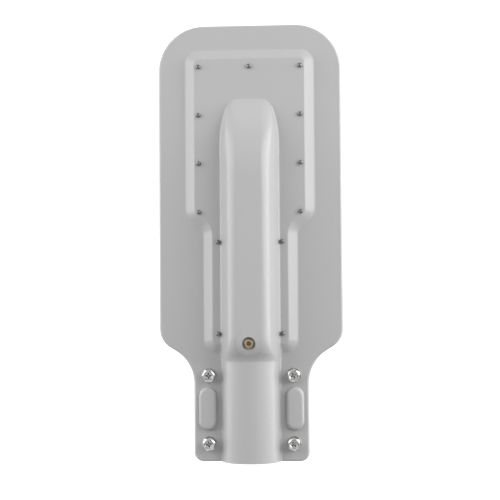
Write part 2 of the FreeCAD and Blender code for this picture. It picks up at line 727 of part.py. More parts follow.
def make_housing():
    """The one-piece shell."""
    pieces = tunnel_form()
    outer = plate_form().fuse(pieces + [earth_ring(pieces)])
    shell = outer.cut(shell_voids())
    boss = disc(0, EARTH_Y, EARTH_BOSS_Z, EARTH_BOSS_R, TUNNEL_TOP).common(outer)
    shell = shell.fuse(boss)
    cuts = [disc(0, EARTH_Y, EARTH_SPOT_Z, EARTH_SPOT_R, TUNNEL_TOP),
            disc(0, EARTH_Y, 0, EARTH_SCREW_R + THREAD_CLEARANCE, TUNNEL_TOP)]
    for x, y in carrier_screw_places():
        cuts.append(post(x, y, 0, CARRIER_SCREW_R + THREAD_CLEARANCE, TUNNEL_TOP))
    for x, y in bolt_places():
        cuts.append(post(x, y, -WALL, BOLT_R + HOLE_CLEARANCE, 3 * WALL, BOLT_SIDES))
    cuts.append(rod_y(GLAND_X, BULKHEAD_Y - 1, GLAND_Z, GLAND_THREAD_R + THREAD_CLEARANCE,
                      BULKHEAD_THICKNESS + 2))
    return shell.cut(cuts).removeSplitter()


def make_carrier_plate():
    """Flat plate that closes the shell from below and carries lamps and driver."""
    plate = prism(rounded_wire(plateau_corners(recess_inset(CARRIER_TOP) + SEAT_CLEARANCE), CARRIER_BOTTOM),
                  CARRIER_THICKNESS)
    holes = [post(x, y, 0, CARRIER_SCREW_R + HOLE_CLEARANCE, TUNNEL_TOP) for x, y in carrier_screw_places()]
    holes += [post(x, y, 0, LENS_SCREW_R + THREAD_CLEARANCE, TUNNEL_TOP) for x, y in lens_screw_places()]
    holes += [post(0, y, 0, DRIVER_SCREW_R + THREAD_CLEARANCE, TUNNEL_TOP) for y in driver_screw_ys()]
    holes += [post(x, SURGE_Y, 0, SMALL_SCREW_R + THREAD_CLEARANCE, TUNNEL_TOP) for x in surge_screw_xs()]
    holes += [post(x, TERMINAL_Y, 0, SMALL_SCREW_R + THREAD_CLEARANCE, TUNNEL_TOP)
              for x in terminal_fixing_xs()]
    holes.append(post(0, LUG_Y, 0, LUG_SCREW_R + THREAD_CLEARANCE, TUNNEL_TOP))
    holes.append(post(0, GROMMET_Y, 0, GROMMET_R, TUNNEL_TOP, BOLT_SIDES))
    return plate.cut(holes)


def make_carrier_gasket():
    """Flat seal between plate and shell, pierced by the screws."""
    edge = recess_inset(RECESS_Z) + GASKET_EDGE
    outer = prism(rounded_wire(plateau_corners(edge), CARRIER_TOP), GASKET_THICKNESS)
    window = plateau_corners(edge + GASKET_WIDTH)
    near_y = BULKHEAD_Y + BULKHEAD_THICKNESS + GASKET_EDGE
    window = [(x, max(y, near_y), min(radius, GASKET_WINDOW_R)) for x, y, radius in window]
    outer = outer.cut(prism(rounded_wire(window, CARRIER_TOP), GASKET_THICKNESS))
    return outer.cut([post(x, y, 0, CARRIER_SCREW_R + HOLE_CLEARANCE, TUNNEL_TOP)
                      for x, y in carrier_screw_places()])


def screw_down(x, y, z, radius, head_radius, head_height, length):
    """Screw driven from above, its head on height z."""
    head = post(x, y, z, head_radius, head_height)
    return head.fuse(post(x, y, z - length, radius, length)).removeSplitter()


def screw_up(x, y, z, radius, head_radius, head_height, length):
    """Screw driven from below, its head under height z."""
    head = post(x, y, z - head_height, head_radius, head_height)
    return head.fuse(post(x, y, z, radius, length)).removeSplitter()


def make_carrier_screws():
    """Screws driven from below, whose ends stand out of the plateau."""
    length = PLATEAU_TOP + CARRIER_SCREW_PROUD - CARRIER_BOTTOM
    return Part.makeCompound([
        screw_up(x, y, CARRIER_BOTTOM, CARRIER_SCREW_R, CARRIER_HEAD_R, CARRIER_HEAD_HEIGHT, length)
        for x, y in carrier_screw_places()])


def board_corners(margin):
    """Outline of the lamp board, grown by a margin."""
    x = BOARD_HALF_WIDTH + margin
    radius = BOARD_CORNER_R + max(margin, 0.0) * (LENS_CORNER_R - BOARD_CORNER_R) / LENS_MARGIN
    near_y = BOARD_NEAR_Y - margin
    far_y = BOARD_FAR_Y + margin
    return [(x, near_y, radius), (x, far_y, radius), (-x, far_y, radius), (-x, near_y, radius)]


def emitter_places():
    """Centres of the lamps on the board."""
    middle_y = (BOARD_NEAR_Y + BOARD_FAR_Y) / 2
    places = []
    for row in range(EMITTER_ROWS):
        for column in range(EMITTER_COLUMNS):
            places.append(((column - (EMITTER_COLUMNS - 1) / 2) * EMITTER_PITCH_X,
                           middle_y + (row - (EMITTER_ROWS - 1) / 2) * EMITTER_PITCH_Y))
    return places


def lens_screw_places():
    """Places of the screws round the lens plate."""
    x = BOARD_HALF_WIDTH + LENS_MARGIN - LENS_SCREW_INSET
    near_y = BOARD_NEAR_Y - LENS_MARGIN + LENS_SCREW_INSET + LENS_CORNER_R / 2
    far_y = BOARD_FAR_Y + LENS_MARGIN - LENS_SCREW_INSET - LENS_CORNER_R / 2
    places = []
    for step in range(LENS_SCREWS_PER_SIDE):
        y = near_y + (far_y - near_y) * step / (LENS_SCREWS_PER_SIDE - 1)
        places += [(-x, y), (x, y)]
    return places


def lead_passages(z, height):
    """Holes that the two output leads pass below the carrier plate."""
    return [post(side * GROMMET_LEAD_X, GROMMET_Y, z, LEAD_R + LEAD_CLEARANCE, height) for side in (-1, 1)]


def make_thermal_sheet():
    """Thin sheet that carries heat from the board to the plate."""
    sheet = prism(rounded_wire(board_corners(0.0), BOARD_TOP), THERMAL_THICKNESS)
    return sheet.cut(lead_passages(BOARD_TOP, THERMAL_THICKNESS))


def make_led_board():
    """Metal-core board."""
    board = prism(rounded_wire(board_corners(0.0), BOARD_BOTTOM), BOARD_THICKNESS)
    return board.cut(lead_passages(BOARD_BOTTOM, BOARD_THICKNESS))


def make_led_emitters():
    """Square lamps under the board."""
    half = EMITTER_SIZE / 2
    return Part.makeCompound([block(x - half, x + half, y - half, y + half, EMITTER_BOTTOM, BOARD_BOTTOM)
                              for x, y in emitter_places()])


def make_lens_gasket():
    """Seal round the board, between lens plate and carrier plate."""
    outline = rounded_wire(board_corners(LENS_MARGIN - LENS_GASKET_INSET), LENS_TOP)
    window = rounded_wire(board_corners(LENS_GASKET_INSET), LENS_TOP)
    seal = prism(outline, LENS_GASKET_THICKNESS).cut(prism(window, LENS_GASKET_THICKNESS))
    return seal.cut([post(x, y, LENS_TOP, LENS_SCREW_R + HOLE_CLEARANCE, LENS_GASKET_THICKNESS)
                      for x, y in lens_screw_places()])


def lens_bump(x, y):
    """One lens: an eight-sided mound under the sheet, wide across the road."""
    rings = []
    for inset, z in ((0.0, LENS_BOTTOM), (LENS_BUMP_TAPER, LENS_BOTTOM - LENS_BUMP_DROP)):
        half_x = LENS_BUMP_LENGTH / 2 - inset
        half_y = LENS_BUMP_WIDTH / 2 - inset
        cut = LENS_BUMP_CORNER - inset * (2 - math.sqrt(2))
        corners = [(half_x, half_y - cut), (half_x - cut, half_y)]
        corners += [(-cx, cy) for cx, cy in reversed(corners)]
        corners += [(-cx, -cy) for cx, cy in corners]
        corners.append(corners[0])
        rings.append(Part.makePolygon([V(x + cx, y + cy, z) for cx, cy in corners]))
    return Part.makeLoft(rings, True, True)


def make_lens_plate():
    """Clear moulded sheet with a lens over each lamp and a rim that seals round the board."""
    sheet = prism(rounded_wire(board_corners(LENS_MARGIN), LENS_BOTTOM), LENS_TOP - LENS_BOTTOM)
    cavity = prism(rounded_wire(board_corners(LENS_GASKET_INSET), LENS_CAVITY_Z), LENS_TOP - LENS_CAVITY_Z)
    sheet = sheet.cut(cavity).fuse([lens_bump(x, y) for x, y in emitter_places()])
    cuts = []
    for x, y in lens_screw_places():
        cuts.append(post(x, y, LENS_BOTTOM, LENS_SCREW_R + HOLE_CLEARANCE, LENS_TOP - LENS_BOTTOM))
        cuts.append(post(x, y, LENS_BOTTOM, LENS_SCREW_HEAD_R + HOLE_CLEARANCE, LENS_SCREW_HEAD_HEIGHT))
    return sheet.cut(cuts).removeSplitter()


def make_lens_screws():
    """Screws that hold the lens plate, their heads sunk in it."""
    seat = LENS_BOTTOM + LENS_SCREW_HEAD_HEIGHT
    length = CARRIER_TOP - LENS_SCREW_SHORT - seat
    return Part.makeCompound([
        screw_up(x, y, seat, LENS_SCREW_R, LENS_SCREW_HEAD_R, LENS_SCREW_HEAD_HEIGHT, length)
        for x, y in lens_screw_places()])


def driver_screw_ys():
    """Places of the driver's two screws along Y, both on the middle line."""
    return (DRIVER_NEAR_Y - DRIVER_TAB_LENGTH / 2, DRIVER_FAR_Y + DRIVER_TAB_LENGTH / 2)


def make_driver_case():
    """Sealed driver with a screw tab at each end."""
    top = CARRIER_TOP + DRIVER_HEIGHT
    case = block(-DRIVER_HALF_WIDTH, DRIVER_HALF_WIDTH, DRIVER_NEAR_Y, DRIVER_FAR_Y, CARRIER_TOP, top)
    long_edges = [edge for edge in edges_at(case, top, lambda point: True)
                  if edge.BoundBox.YLength > edge.BoundBox.XLength]
    case = case.makeFillet(DRIVER_EDGE_R, long_edges)
    tabs = block(-DRIVER_TAB_HALF_WIDTH, DRIVER_TAB_HALF_WIDTH, DRIVER_NEAR_Y - DRIVER_TAB_LENGTH,
                 DRIVER_FAR_Y + DRIVER_TAB_LENGTH, CARRIER_TOP, CARRIER_TOP + DRIVER_TAB_THICKNESS)
    holes = [post(0, y, 0, DRIVER_SCREW_R + HOLE_CLEARANCE, TUNNEL_TOP) for y in driver_screw_ys()]
    return case.fuse(tabs).removeSplitter().cut(holes)


def make_driver_screws():
    """Screws in the driver's tabs."""
    seat = CARRIER_TOP + DRIVER_TAB_THICKNESS
    return Part.makeCompound([
        screw_down(0, y, seat, DRIVER_SCREW_R, DRIVER_HEAD_R, CARRIER_HEAD_HEIGHT, seat - CARRIER_BOTTOM)
        for y in driver_screw_ys()])


def surge_screw_xs():
    """Places of the surge protector's screws along X."""
    x = SURGE_HALF_WIDTH + SURGE_TAB_LENGTH / 2 - SURGE_TAB_LENGTH
    return (-x, x)


def make_surge_protector():
    """Sealed block with a low tab at each side."""
    body_half = SURGE_HALF_WIDTH - SURGE_TAB_LENGTH
    top = CARRIER_TOP + SURGE_HEIGHT
    body = block(-body_half, body_half, SURGE_NEAR_Y, SURGE_NEAR_Y + SURGE_LENGTH, CARRIER_TOP, top)
    body = body.makeChamfer(SURGE_EDGE, edges_at(body, top, lambda point: True))
    tabs = block(-SURGE_HALF_WIDTH, SURGE_HALF_WIDTH, SURGE_Y - SURGE_TAB_LENGTH / 2,
                 SURGE_Y + SURGE_TAB_LENGTH / 2, CARRIER_TOP, CARRIER_TOP + DRIVER_TAB_THICKNESS)
    holes = [post(x, SURGE_Y, 0, SMALL_SCREW_R + HOLE_CLEARANCE, TUNNEL_TOP) for x in surge_screw_xs()]
    return body.fuse(tabs).removeSplitter().cut(holes)


def make_surge_screws():
    """Screws in the surge protector's tabs."""
    seat = CARRIER_TOP + DRIVER_TAB_THICKNESS
    return Part.makeCompound([
        screw_down(x, SURGE_Y, seat, SMALL_SCREW_R, SMALL_HEAD_R, SMALL_HEAD_HEIGHT, seat - CARRIER_BOTTOM)
        for x in surge_screw_xs()])


def terminal_fixing_xs():
    """Places of the terminal block's fixing screws along X."""
    return (-TERMINAL_PITCH / 2, TERMINAL_PITCH / 2)


def terminal_way_xs():
    """Middles of the three ways of the terminal block along X."""
    return (-TERMINAL_PITCH, 0.0, TERMINAL_PITCH)


def make_terminal_block():
    """Three-way block: wells for the clamp screws, and wire ways at both faces."""
    top = CARRIER_TOP + TERMINAL_HEIGHT
    body = block(-TERMINAL_HALF_WIDTH, TERMINAL_HALF_WIDTH, TERMINAL_NEAR_Y, TERMINAL_FAR_Y,
                 CARRIER_TOP, top)
    way_r = LEAD_R + LEAD_CLEARANCE
    cuts = []
    for x in terminal_way_xs():
        cuts.append(post(x, TERMINAL_Y, top - TERMINAL_WELL_DEPTH, TERMINAL_WELL_R, TERMINAL_WELL_DEPTH))
        for rise in (TERMINAL_LOW_WAY, TERMINAL_HIGH_WAY):
            z = CARRIER_TOP + rise
            cuts.append(post_y(x, TERMINAL_FAR_Y - TERMINAL_WAY_DEPTH, z, way_r, TERMINAL_WAY_DEPTH))
        cuts.append(post_y(x, TERMINAL_NEAR_Y, CARRIER_TOP + TERMINAL_LOW_WAY, way_r, TERMINAL_WAY_DEPTH))
    for x in terminal_fixing_xs():
        cuts.append(post(x, TERMINAL_Y, CARRIER_TOP, SMALL_SCREW_R + HOLE_CLEARANCE, TERMINAL_HEIGHT))
        cuts.append(post(x, TERMINAL_Y, top - SMALL_HEAD_HEIGHT, SMALL_HEAD_R + HOLE_CLEARANCE,
                         SMALL_HEAD_HEIGHT))
    return body.cut(cuts)


def make_terminal_clamp_screws():
    """Slotted grub screws in the wells of the terminal block."""
    floor = CARRIER_TOP + TERMINAL_HEIGHT - TERMINAL_WELL_DEPTH
    top = floor + TERMINAL_SCREW_LENGTH
    screws = []
    for x in terminal_way_xs():
        screw = post(x, TERMINAL_Y, floor, TERMINAL_SCREW_R, TERMINAL_SCREW_LENGTH)
        slot = block(x - TERMINAL_SCREW_R, x + TERMINAL_SCREW_R, TERMINAL_Y - TERMINAL_SLOT_WIDTH / 2,
                     TERMINAL_Y + TERMINAL_SLOT_WIDTH / 2, top - TERMINAL_SLOT_DEPTH, top)
        screws.append(screw.cut(slot))
    return Part.makeCompound(screws)


def make_terminal_fixing_screws():
    """Screws that hold the terminal block down."""
    seat = CARRIER_TOP + TERMINAL_HEIGHT - SMALL_HEAD_HEIGHT
    length = seat - CARRIER_BOTTOM
    return Part.makeCompound([
        screw_down(x, TERMINAL_Y, seat, SMALL_SCREW_R, SMALL_HEAD_R, SMALL_HEAD_HEIGHT, length)
        for x in terminal_fixing_xs()])


def make_earth_lug():
    """Ring lug of the inner earth lead, flat on the carrier plate."""
    barrel_z = CARRIER_TOP + TERMINAL_LOW_WAY
    bore_r = LEAD_R + LEAD_CLEARANCE / 2
    barrel_r = bore_r + LUG_BARREL_WALL
    barrel_end = LUG_Y - LUG_RING_R - LUG_NECK_GAP
    plate = post(0, LUG_Y, CARRIER_TOP, LUG_RING_R, LUG_THICKNESS, BOLT_SIDES)
    neck = block(-barrel_r, barrel_r, barrel_end - LUG_BARREL_LENGTH, LUG_Y, CARRIER_TOP,
                 CARRIER_TOP + LUG_THICKNESS)
    barrel = post_y(0, barrel_end - LUG_BARREL_LENGTH, barrel_z, barrel_r, LUG_BARREL_LENGTH)
    lug = plate.fuse([neck, barrel]).removeSplitter()
    bore = post_y(0, barrel_end - LUG_BARREL_LENGTH, barrel_z, bore_r, LUG_BARREL_LENGTH)
    return lug.cut([bore, post(0, LUG_Y, 0, LUG_SCREW_R + HOLE_CLEARANCE, TUNNEL_TOP)])


def make_lug_screw():
    """Screw that holds the ring lug."""
    seat = CARRIER_TOP + LUG_THICKNESS
    return screw_down(0, LUG_Y, seat, LUG_SCREW_R, LUG_SCREW_HEAD_R, CARRIER_HEAD_HEIGHT,
                      seat - CARRIER_BOTTOM)


def lead(points):
    """Insulated lead along straight runs, each corner between two runs cut off at a slant."""
    nodes = [V(*point) for point in points]
    path = [nodes[0]]
    for before, here, after in zip(nodes, nodes[1:], nodes[2:]):
        reach = LEAD_BEND_SHARE * min((before - here).Length, (after - here).Length)
        path.append(here + (before - here).normalize() * reach)
        path.append(here + (after - here).normalize() * reach)
    path.append(nodes[-1])
    section = post(0, 0, 0, LEAD_R, 1.0).Faces
    section = min(section, key=lambda face: face.CenterOfMass.z).OuterWire
    section.Placement = FreeCAD.Placement(path[0], FreeCAD.Rotation(UP, path[1] - path[0]))
    mitred = 1
    return Part.makePolygon(path).makePipeShell([section], True, False, mitred)


def mains_lead(side):
    """Lead from the terminal block past the surge protector to the driver."""
    x = side * TERMINAL_PITCH
    start_y = TERMINAL_FAR_Y - TERMINAL_WAY_DEPTH
    low_z = CARRIER_TOP + TERMINAL_LOW_WAY
    high_z = CARRIER_TOP + DRIVER_INLET_RISE
    return lead([
        (x, start_y, low_z),
        (x, SURGE_Y - SURGE_LENGTH, low_z),
        (x, SURGE_Y + SURGE_LENGTH / 2, high_z),
        (x, DRIVER_NEAR_Y, high_z),
    ])


def surge_lead(side):
    """Lead from the terminal block to the surge protector."""
    x = side * TERMINAL_PITCH
    near_x = side * (SURGE_HALF_WIDTH - SURGE_TAB_LENGTH - 2 * LEAD_R)
    start_y = TERMINAL_FAR_Y - TERMINAL_WAY_DEPTH
    end_y = SURGE_NEAR_Y
    z = CARRIER_TOP + TERMINAL_HIGH_WAY
    return lead([
        (x, start_y, z),
        (x, TERMINAL_FAR_Y + 2 * LEAD_R, z),
        (near_x, end_y - TERMINAL_WAY_DEPTH / 2, z),
        (near_x, end_y, z),
    ])


def earth_lead():
    """Straight lead from the middle way into the barrel of the ring lug."""
    start_y = TERMINAL_FAR_Y - TERMINAL_WAY_DEPTH
    end_y = LUG_Y - LUG_RING_R - LUG_NECK_GAP - LUG_LEAD_GAP
    return post_y(0, start_y, CARRIER_TOP + TERMINAL_LOW_WAY, LEAD_R, end_y - start_y)


def output_lead(side):
    """Lead from the driver over its tab and down through the plate to the board."""
    x = side * GROMMET_LEAD_X
    high_z = CARRIER_TOP + DRIVER_OUTLET_RISE
    return lead([
        (x, DRIVER_FAR_Y, high_z),
        (x, GROMMET_Y, high_z),
        (x, GROMMET_Y, BOARD_BOTTOM),
    ])


def make_board_grommet():
    """Bush in the carrier plate with two holes for the output leads."""
    bush = post(0, GROMMET_Y, CARRIER_BOTTOM, GROMMET_R, CARRIER_THICKNESS, BOLT_SIDES)
    flange = post(0, GROMMET_Y, CARRIER_TOP, GROMMET_FLANGE_R, GROMMET_FLANGE_HEIGHT, BOLT_SIDES)
    height = CARRIER_THICKNESS + GROMMET_FLANGE_HEIGHT
    return bush.fuse(flange).removeSplitter().cut([
        post(side * GROMMET_LEAD_X, GROMMET_Y, CARRIER_BOTTOM, LEAD_R + THREAD_CLEARANCE, height)
        for side in (-1, 1)])


def make_gland_body():
    """Threaded body of the cable gland, its flange against the bulkhead."""
    flange_y = BULKHEAD_Y - GLAND_HEX_LENGTH
    body = hexagon_y(GLAND_X, flange_y, GLAND_Z, GLAND_HEX_ACROSS, GLAND_HEX_LENGTH)
    thread = rod_y(GLAND_X, BULKHEAD_Y, GLAND_Z, GLAND_THREAD_R, BULKHEAD_THICKNESS + GLAND_TAIL)
    collar = rod_y(GLAND_X, flange_y - GLAND_COLLAR_LENGTH, GLAND_Z, GLAND_COLLAR_R, GLAND_COLLAR_LENGTH)
    body = body.fuse([thread, collar]).removeSplitter()
    length = GLAND_COLLAR_LENGTH + GLAND_HEX_LENGTH + BULKHEAD_THICKNESS + GLAND_TAIL
    body = body.cut(rod_y(GLAND_X, flange_y - GLAND_COLLAR_LENGTH, GLAND_Z, GLAND_BORE_R, length))
    return body.cut(rod_y(GLAND_X, flange_y - GLAND_COLLAR_LENGTH, GLAND_Z,
                          GLAND_SEAL_BORE_R + GLAND_SEAL_WALL, GLAND_SEAL_LENGTH - GLAND_CAP_NOSE / 2))


def make_gland_seal():
    """Soft ring that grips the cable, in the mouth of the gland body."""
    start_y = BULKHEAD_Y - GLAND_HEX_LENGTH - GLAND_COLLAR_LENGTH - GLAND_CAP_NOSE / 2
    seal = rod_y(GLAND_X, start_y, GLAND_Z, GLAND_SEAL_BORE_R + GLAND_SEAL_WALL - THREAD_CLEARANCE,
                 GLAND_SEAL_LENGTH)
    return seal.cut(rod_y(GLAND_X, start_y, GLAND_Z, GLAND_SEAL_BORE_R, GLAND_SEAL_LENGTH))


def make_gland_cap():
    """Nut with a tapered nose that squeezes the seal."""
    end_y = BULKHEAD_Y - GLAND_HEX_LENGTH - THREAD_CLEARANCE
    start_y = end_y - GLAND_CAP_LENGTH
    nose = Part.makeCone(GLAND_CAP_NOSE_R, GLAND_HEX_ACROSS / 2, GLAND_CAP_TAPER,
                         V(GLAND_X, start_y, GLAND_Z), ALONG)
    cap = hexagon_y(GLAND_X, start_y + GLAND_CAP_TAPER, GLAND_Z, GLAND_HEX_ACROSS,
                    GLAND_CAP_LENGTH - GLAND_CAP_TAPER).fuse(nose)
    seat_y = BULKHEAD_Y - GLAND_HEX_LENGTH - GLAND_COLLAR_LENGTH - GLAND_CAP_NOSE / 2
    thread = rod_y(GLAND_X, seat_y, GLAND_Z, GLAND_COLLAR_R + THREAD_CLEARANCE, end_y - seat_y)
    return cap.cut([thread, rod_y(GLAND_X, start_y, GLAND_Z, GLAND_BORE_R, GLAND_CAP_LENGTH)])


def make_gland_locknut():
    """Flat nut inside the bulkhead."""
    start_y = BULKHEAD_Y + BULKHEAD_THICKNESS
    nut = hexagon_y(GLAND_X, start_y, GLAND_Z, GLAND_HEX_ACROSS, GLAND_NUT_THICKNESS)
    return nut.cut(rod_y(GLAND_X, start_y, GLAND_Z, GLAND_THREAD_R + THREAD_CLEARANCE, GLAND_NUT_THICKNESS))


def make_earth_screw():
    """Brass socket head screw in the spot-face."""
    head = disc(0, EARTH_Y, EARTH_SPOT_Z, EARTH_HEAD_R, EARTH_HEAD_HEIGHT)
    top = EARTH_SPOT_Z + EARTH_HEAD_HEIGHT
    head = head.makeChamfer(EARTH_HEAD_EDGE, edges_at(head, top, lambda point: True))
    head = head.fuse(post(0, EARTH_Y, EARTH_SPOT_Z - EARTH_SCREW_LENGTH, EARTH_SCREW_R, EARTH_SCREW_LENGTH,
                          BOLT_SIDES))
    socket = hexagon(0, EARTH_Y, top - EARTH_HEX_DEPTH, EARTH_HEX_ACROSS, EARTH_HEX_DEPTH, EARTH_HEX_TURN)
    return head.removeSplitter().cut(socket)


def make_earth_washer():
    """Washer under the shell's earth boss."""
    return washer(0, EARTH_Y, EARTH_BOSS_Z - EARTH_WASHER_HEIGHT, EARTH_WASHER_R,
                  EARTH_SCREW_R + HOLE_CLEARANCE, EARTH_WASHER_HEIGHT)


def make_earth_nut():
    """Nut under the washer, where the supply's earth wire is clamped."""
    z = EARTH_BOSS_Z - EARTH_WASHER_HEIGHT - EARTH_NUT_HEIGHT
    nut = hexagon(0, EARTH_Y, z, EARTH_NUT_ACROSS, EARTH_NUT_HEIGHT)
    return nut.cut(post(0, EARTH_Y, z, EARTH_SCREW_R + THREAD_CLEARANCE, EARTH_NUT_HEIGHT, BOLT_SIDES))


def make_flat_washers():
    """Flat washers under the clamp bolts' heads."""
    return Part.makeCompound([
        washer(x, y, PLATE_TOP, FLAT_WASHER_OUTER_R, BOLT_R + HOLE_CLEARANCE, FLAT_WASHER_HEIGHT)
        for x, y in bolt_places()])


def make_spring_washers():
    """Split spring washers on the flat ones."""
    z = PLATE_TOP + FLAT_WASHER_HEIGHT
    washers = []
    for turn, (x, y) in zip(SLIT_TURNS, bolt_places()):
        full = washer(x, y, z, SPRING_WASHER_OUTER_R, BOLT_R + HOLE_CLEARANCE, SPRING_WASHER_HEIGHT)
        slit = block(0, SPRING_WASHER_OUTER_R + 1, -SPRING_WASHER_SLIT / 2, SPRING_WASHER_SLIT / 2,
                     z, z + SPRING_WASHER_HEIGHT)
        slit.rotate(V(0, 0, 0), UP, turn)
        slit.translate(V(x, y, 0))
        washers.append(full.cut(slit))
    return Part.makeCompound(washers)


def make_clamp_bolts():
    """Hexagon bolts with a round dish in the head."""
    seat = PLATE_TOP + FLAT_WASHER_HEIGHT + SPRING_WASHER_HEIGHT
    bolts = []
    for turn, (x, y) in zip(BOLT_TURNS, bolt_places()):
        head = hexagon(x, y, seat, BOLT_HEAD_ACROSS, BOLT_HEAD_HEIGHT, turn)
        dish_z = seat + BOLT_HEAD_HEIGHT - BOLT_DISH_DEPTH
        head = head.cut(post(x, y, dish_z, BOLT_DISH_R, BOLT_DISH_DEPTH, BOLT_SIDES))
        shank = post(x, y, seat - BOLT_LENGTH, BOLT_R, BOLT_LENGTH, BOLT_SIDES)
        bolts.append(head.fuse(shank).removeSplitter())
    return Part.makeCompound(bolts)


def make_nut_washers():
    """Flat washers between the straps and the nuts."""
    z = -STRAP_GAP - STRAP_THICKNESS - FLAT_WASHER_HEIGHT
    return Part.makeCompound([
        washer(x, y, z, FLAT_WASHER_OUTER_R, BOLT_R + HOLE_CLEARANCE, FLAT_WASHER_HEIGHT)
        for x, y in bolt_places()])


def make_clamp_nuts():
    """Hexagon nuts under the straps' washers."""
    top = -STRAP_GAP - STRAP_THICKNESS - FLAT_WASHER_HEIGHT
    return Part.makeCompound([
        hexagon(x, y, top - BOLT_NUT_HEIGHT, BOLT_HEAD_ACROSS, BOLT_NUT_HEIGHT, turn).cut(
            post(x, y, top - BOLT_NUT_HEIGHT, BOLT_R + THREAD_CLEARANCE, BOLT_NUT_HEIGHT, BOLT_SIDES))
        for turn, (x, y) in zip(NUT_TURNS, bolt_places())])


def make_clamp_strap(y):
    """Strap bent from flat bar: an ear at each side and a half ring under the pole."""
    outer = SOCKET_BORE_R + STRAP_THICKNESS
    ear_top = -STRAP_GAP
    ear_bottom = ear_top - STRAP_THICKNESS
    near_y = y - STRAP_WIDTH / 2
    bend_z = ear_bottom - STRAP_BEND_R
    bend_x = math.sqrt((outer + STRAP_BEND_R) ** 2 - bend_z ** 2)
    meet = math.atan2(bend_z, bend_x)
    bend_from = meet + math.pi
    bend_to = math.pi / 2

    def at_pole(radius, angle):
        return V(radius * math.cos(angle), near_y, radius * math.sin(angle))

    def at_bend(radius, angle, side):
        return V(side * (bend_x + radius * math.cos(angle)), near_y, bend_z + radius * math.sin(angle))

    def bend(radius, side):
        return Part.Arc(at_bend(radius, bend_from, side), at_bend(radius, (bend_from + bend_to) / 2, side),
                        at_bend(radius, bend_to, side)).toShape()

    def half_ring(radius):
        return Part.Arc(at_pole(radius, meet), at_pole(radius, -math.pi / 2),
                        at_pole(radius, math.pi - meet)).toShape()

    def flat(x0, z0, x1, z1):
        return Part.LineSegment(V(x0, near_y, z0), V(x1, near_y, z1)).toShape()
    edges = [half_ring(SOCKET_BORE_R), half_ring(outer)]
    for side in (-1, 1):
        edges.append(bend(STRAP_BEND_R + STRAP_THICKNESS, side))
        edges.append(bend(STRAP_BEND_R, side))
        edges.append(flat(side * bend_x, ear_top, side * STRAP_EAR_X, ear_top))
        edges.append(flat(side * bend_x, ear_bottom, side * STRAP_EAR_X, ear_bottom))
        edges.append(flat(side * STRAP_EAR_X, ear_top, side * STRAP_EAR_X, ear_bottom))
    outline = Part.Wire(Part.__sortEdges__(edges))
    strap = Part.Face(outline).extrude(ALONG * STRAP_WIDTH)
    return strap.cut([
        post(side * BOLT_X, y, ear_bottom, BOLT_R + HOLE_CLEARANCE, STRAP_THICKNESS, BOLT_SIDES)
        for side in (-1, 1)])


PIECES = {
    "housing": make_housing,
    "carrier_plate": make_carrier_plate,
    "carrier_gasket": make_carrier_gasket,
    "carrier_screws": make_carrier_screws,
    "thermal_sheet": make_thermal_sheet,
    "led_board": make_led_board,
    "led_emitters": make_led_emitters,
    "lens_plate": make_lens_plate,
    "lens_gasket": make_lens_gasket,
    "lens_screws": make_lens_screws,
    "driver_case": make_driver_case,
    "driver_screws": make_driver_screws,
    "surge_protector": make_surge_protector,
    "surge_screws": make_surge_screws,
    "terminal_block": make_terminal_block,
    "terminal_clamp_screws": make_terminal_clamp_screws,
    "terminal_fixing_screws": make_terminal_fixing_screws,
    "earth_lug": make_earth_lug,
    "lug_screw": make_lug_screw,
    "lead_live": lambda: mains_lead(-1),
    "lead_neutral": lambda: mains_lead(1),
    "lead_surge_live": lambda: surge_lead(-1),
    "lead_surge_neutral": lambda: surge_lead(1),
    "lead_earth": earth_lead,
    "lead_led_positive": lambda: output_lead(1),
    "lead_led_negative": lambda: output_lead(-1),
    "board_grommet": make_board_grommet,
    "gland_body": make_gland_body,
    "gland_seal": make_gland_seal,
    "gland_cap": make_gland_cap,
    "gland_locknut": make_gland_locknut,
    "earth_screw": make_earth_screw,
    "earth_washer": make_earth_washer,
    "earth_nut": make_earth_nut,
    "clamp_flat_washers": make_flat_washers,
    "clamp_spring_washers": make_spring_washers,
    "clamp_bolts": make_clamp_bolts,
    "clamp_nut_washers": make_nut_washers,
    "clamp_nuts": make_clamp_nuts,
    "clamp_strap_mouth": lambda: make_clamp_strap(BOLT_YS[0]),
    "clamp_strap_inner": lambda: make_clamp_strap(BOLT_YS[1]),
}


def main():
    """Build every piece and write its file."""
    os.makedirs("parts", exist_ok=True)
    for name, make in PIECES.items():
        shape = make()
        shape.exportStep(os.path.join("parts", name + ".step"))
        print(name, "valid" if shape.isValid() else "NOT VALID", len(shape.Solids), round(shape.Volume, 1))


main()
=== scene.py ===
"""LED street light head: finishes, fasteners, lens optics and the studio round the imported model."""
import json
import logging
import math
from abc import ABC, abstractmethod
from collections.abc import Callable, Mapping, Sequence
from dataclasses import dataclass
from enum import Enum
from typing import Any

import bmesh
import bpy
from bpy.types import Material, Mesh, Node, NodeSocket, NodeTree, Object
from mathutils import Matrix, Vector

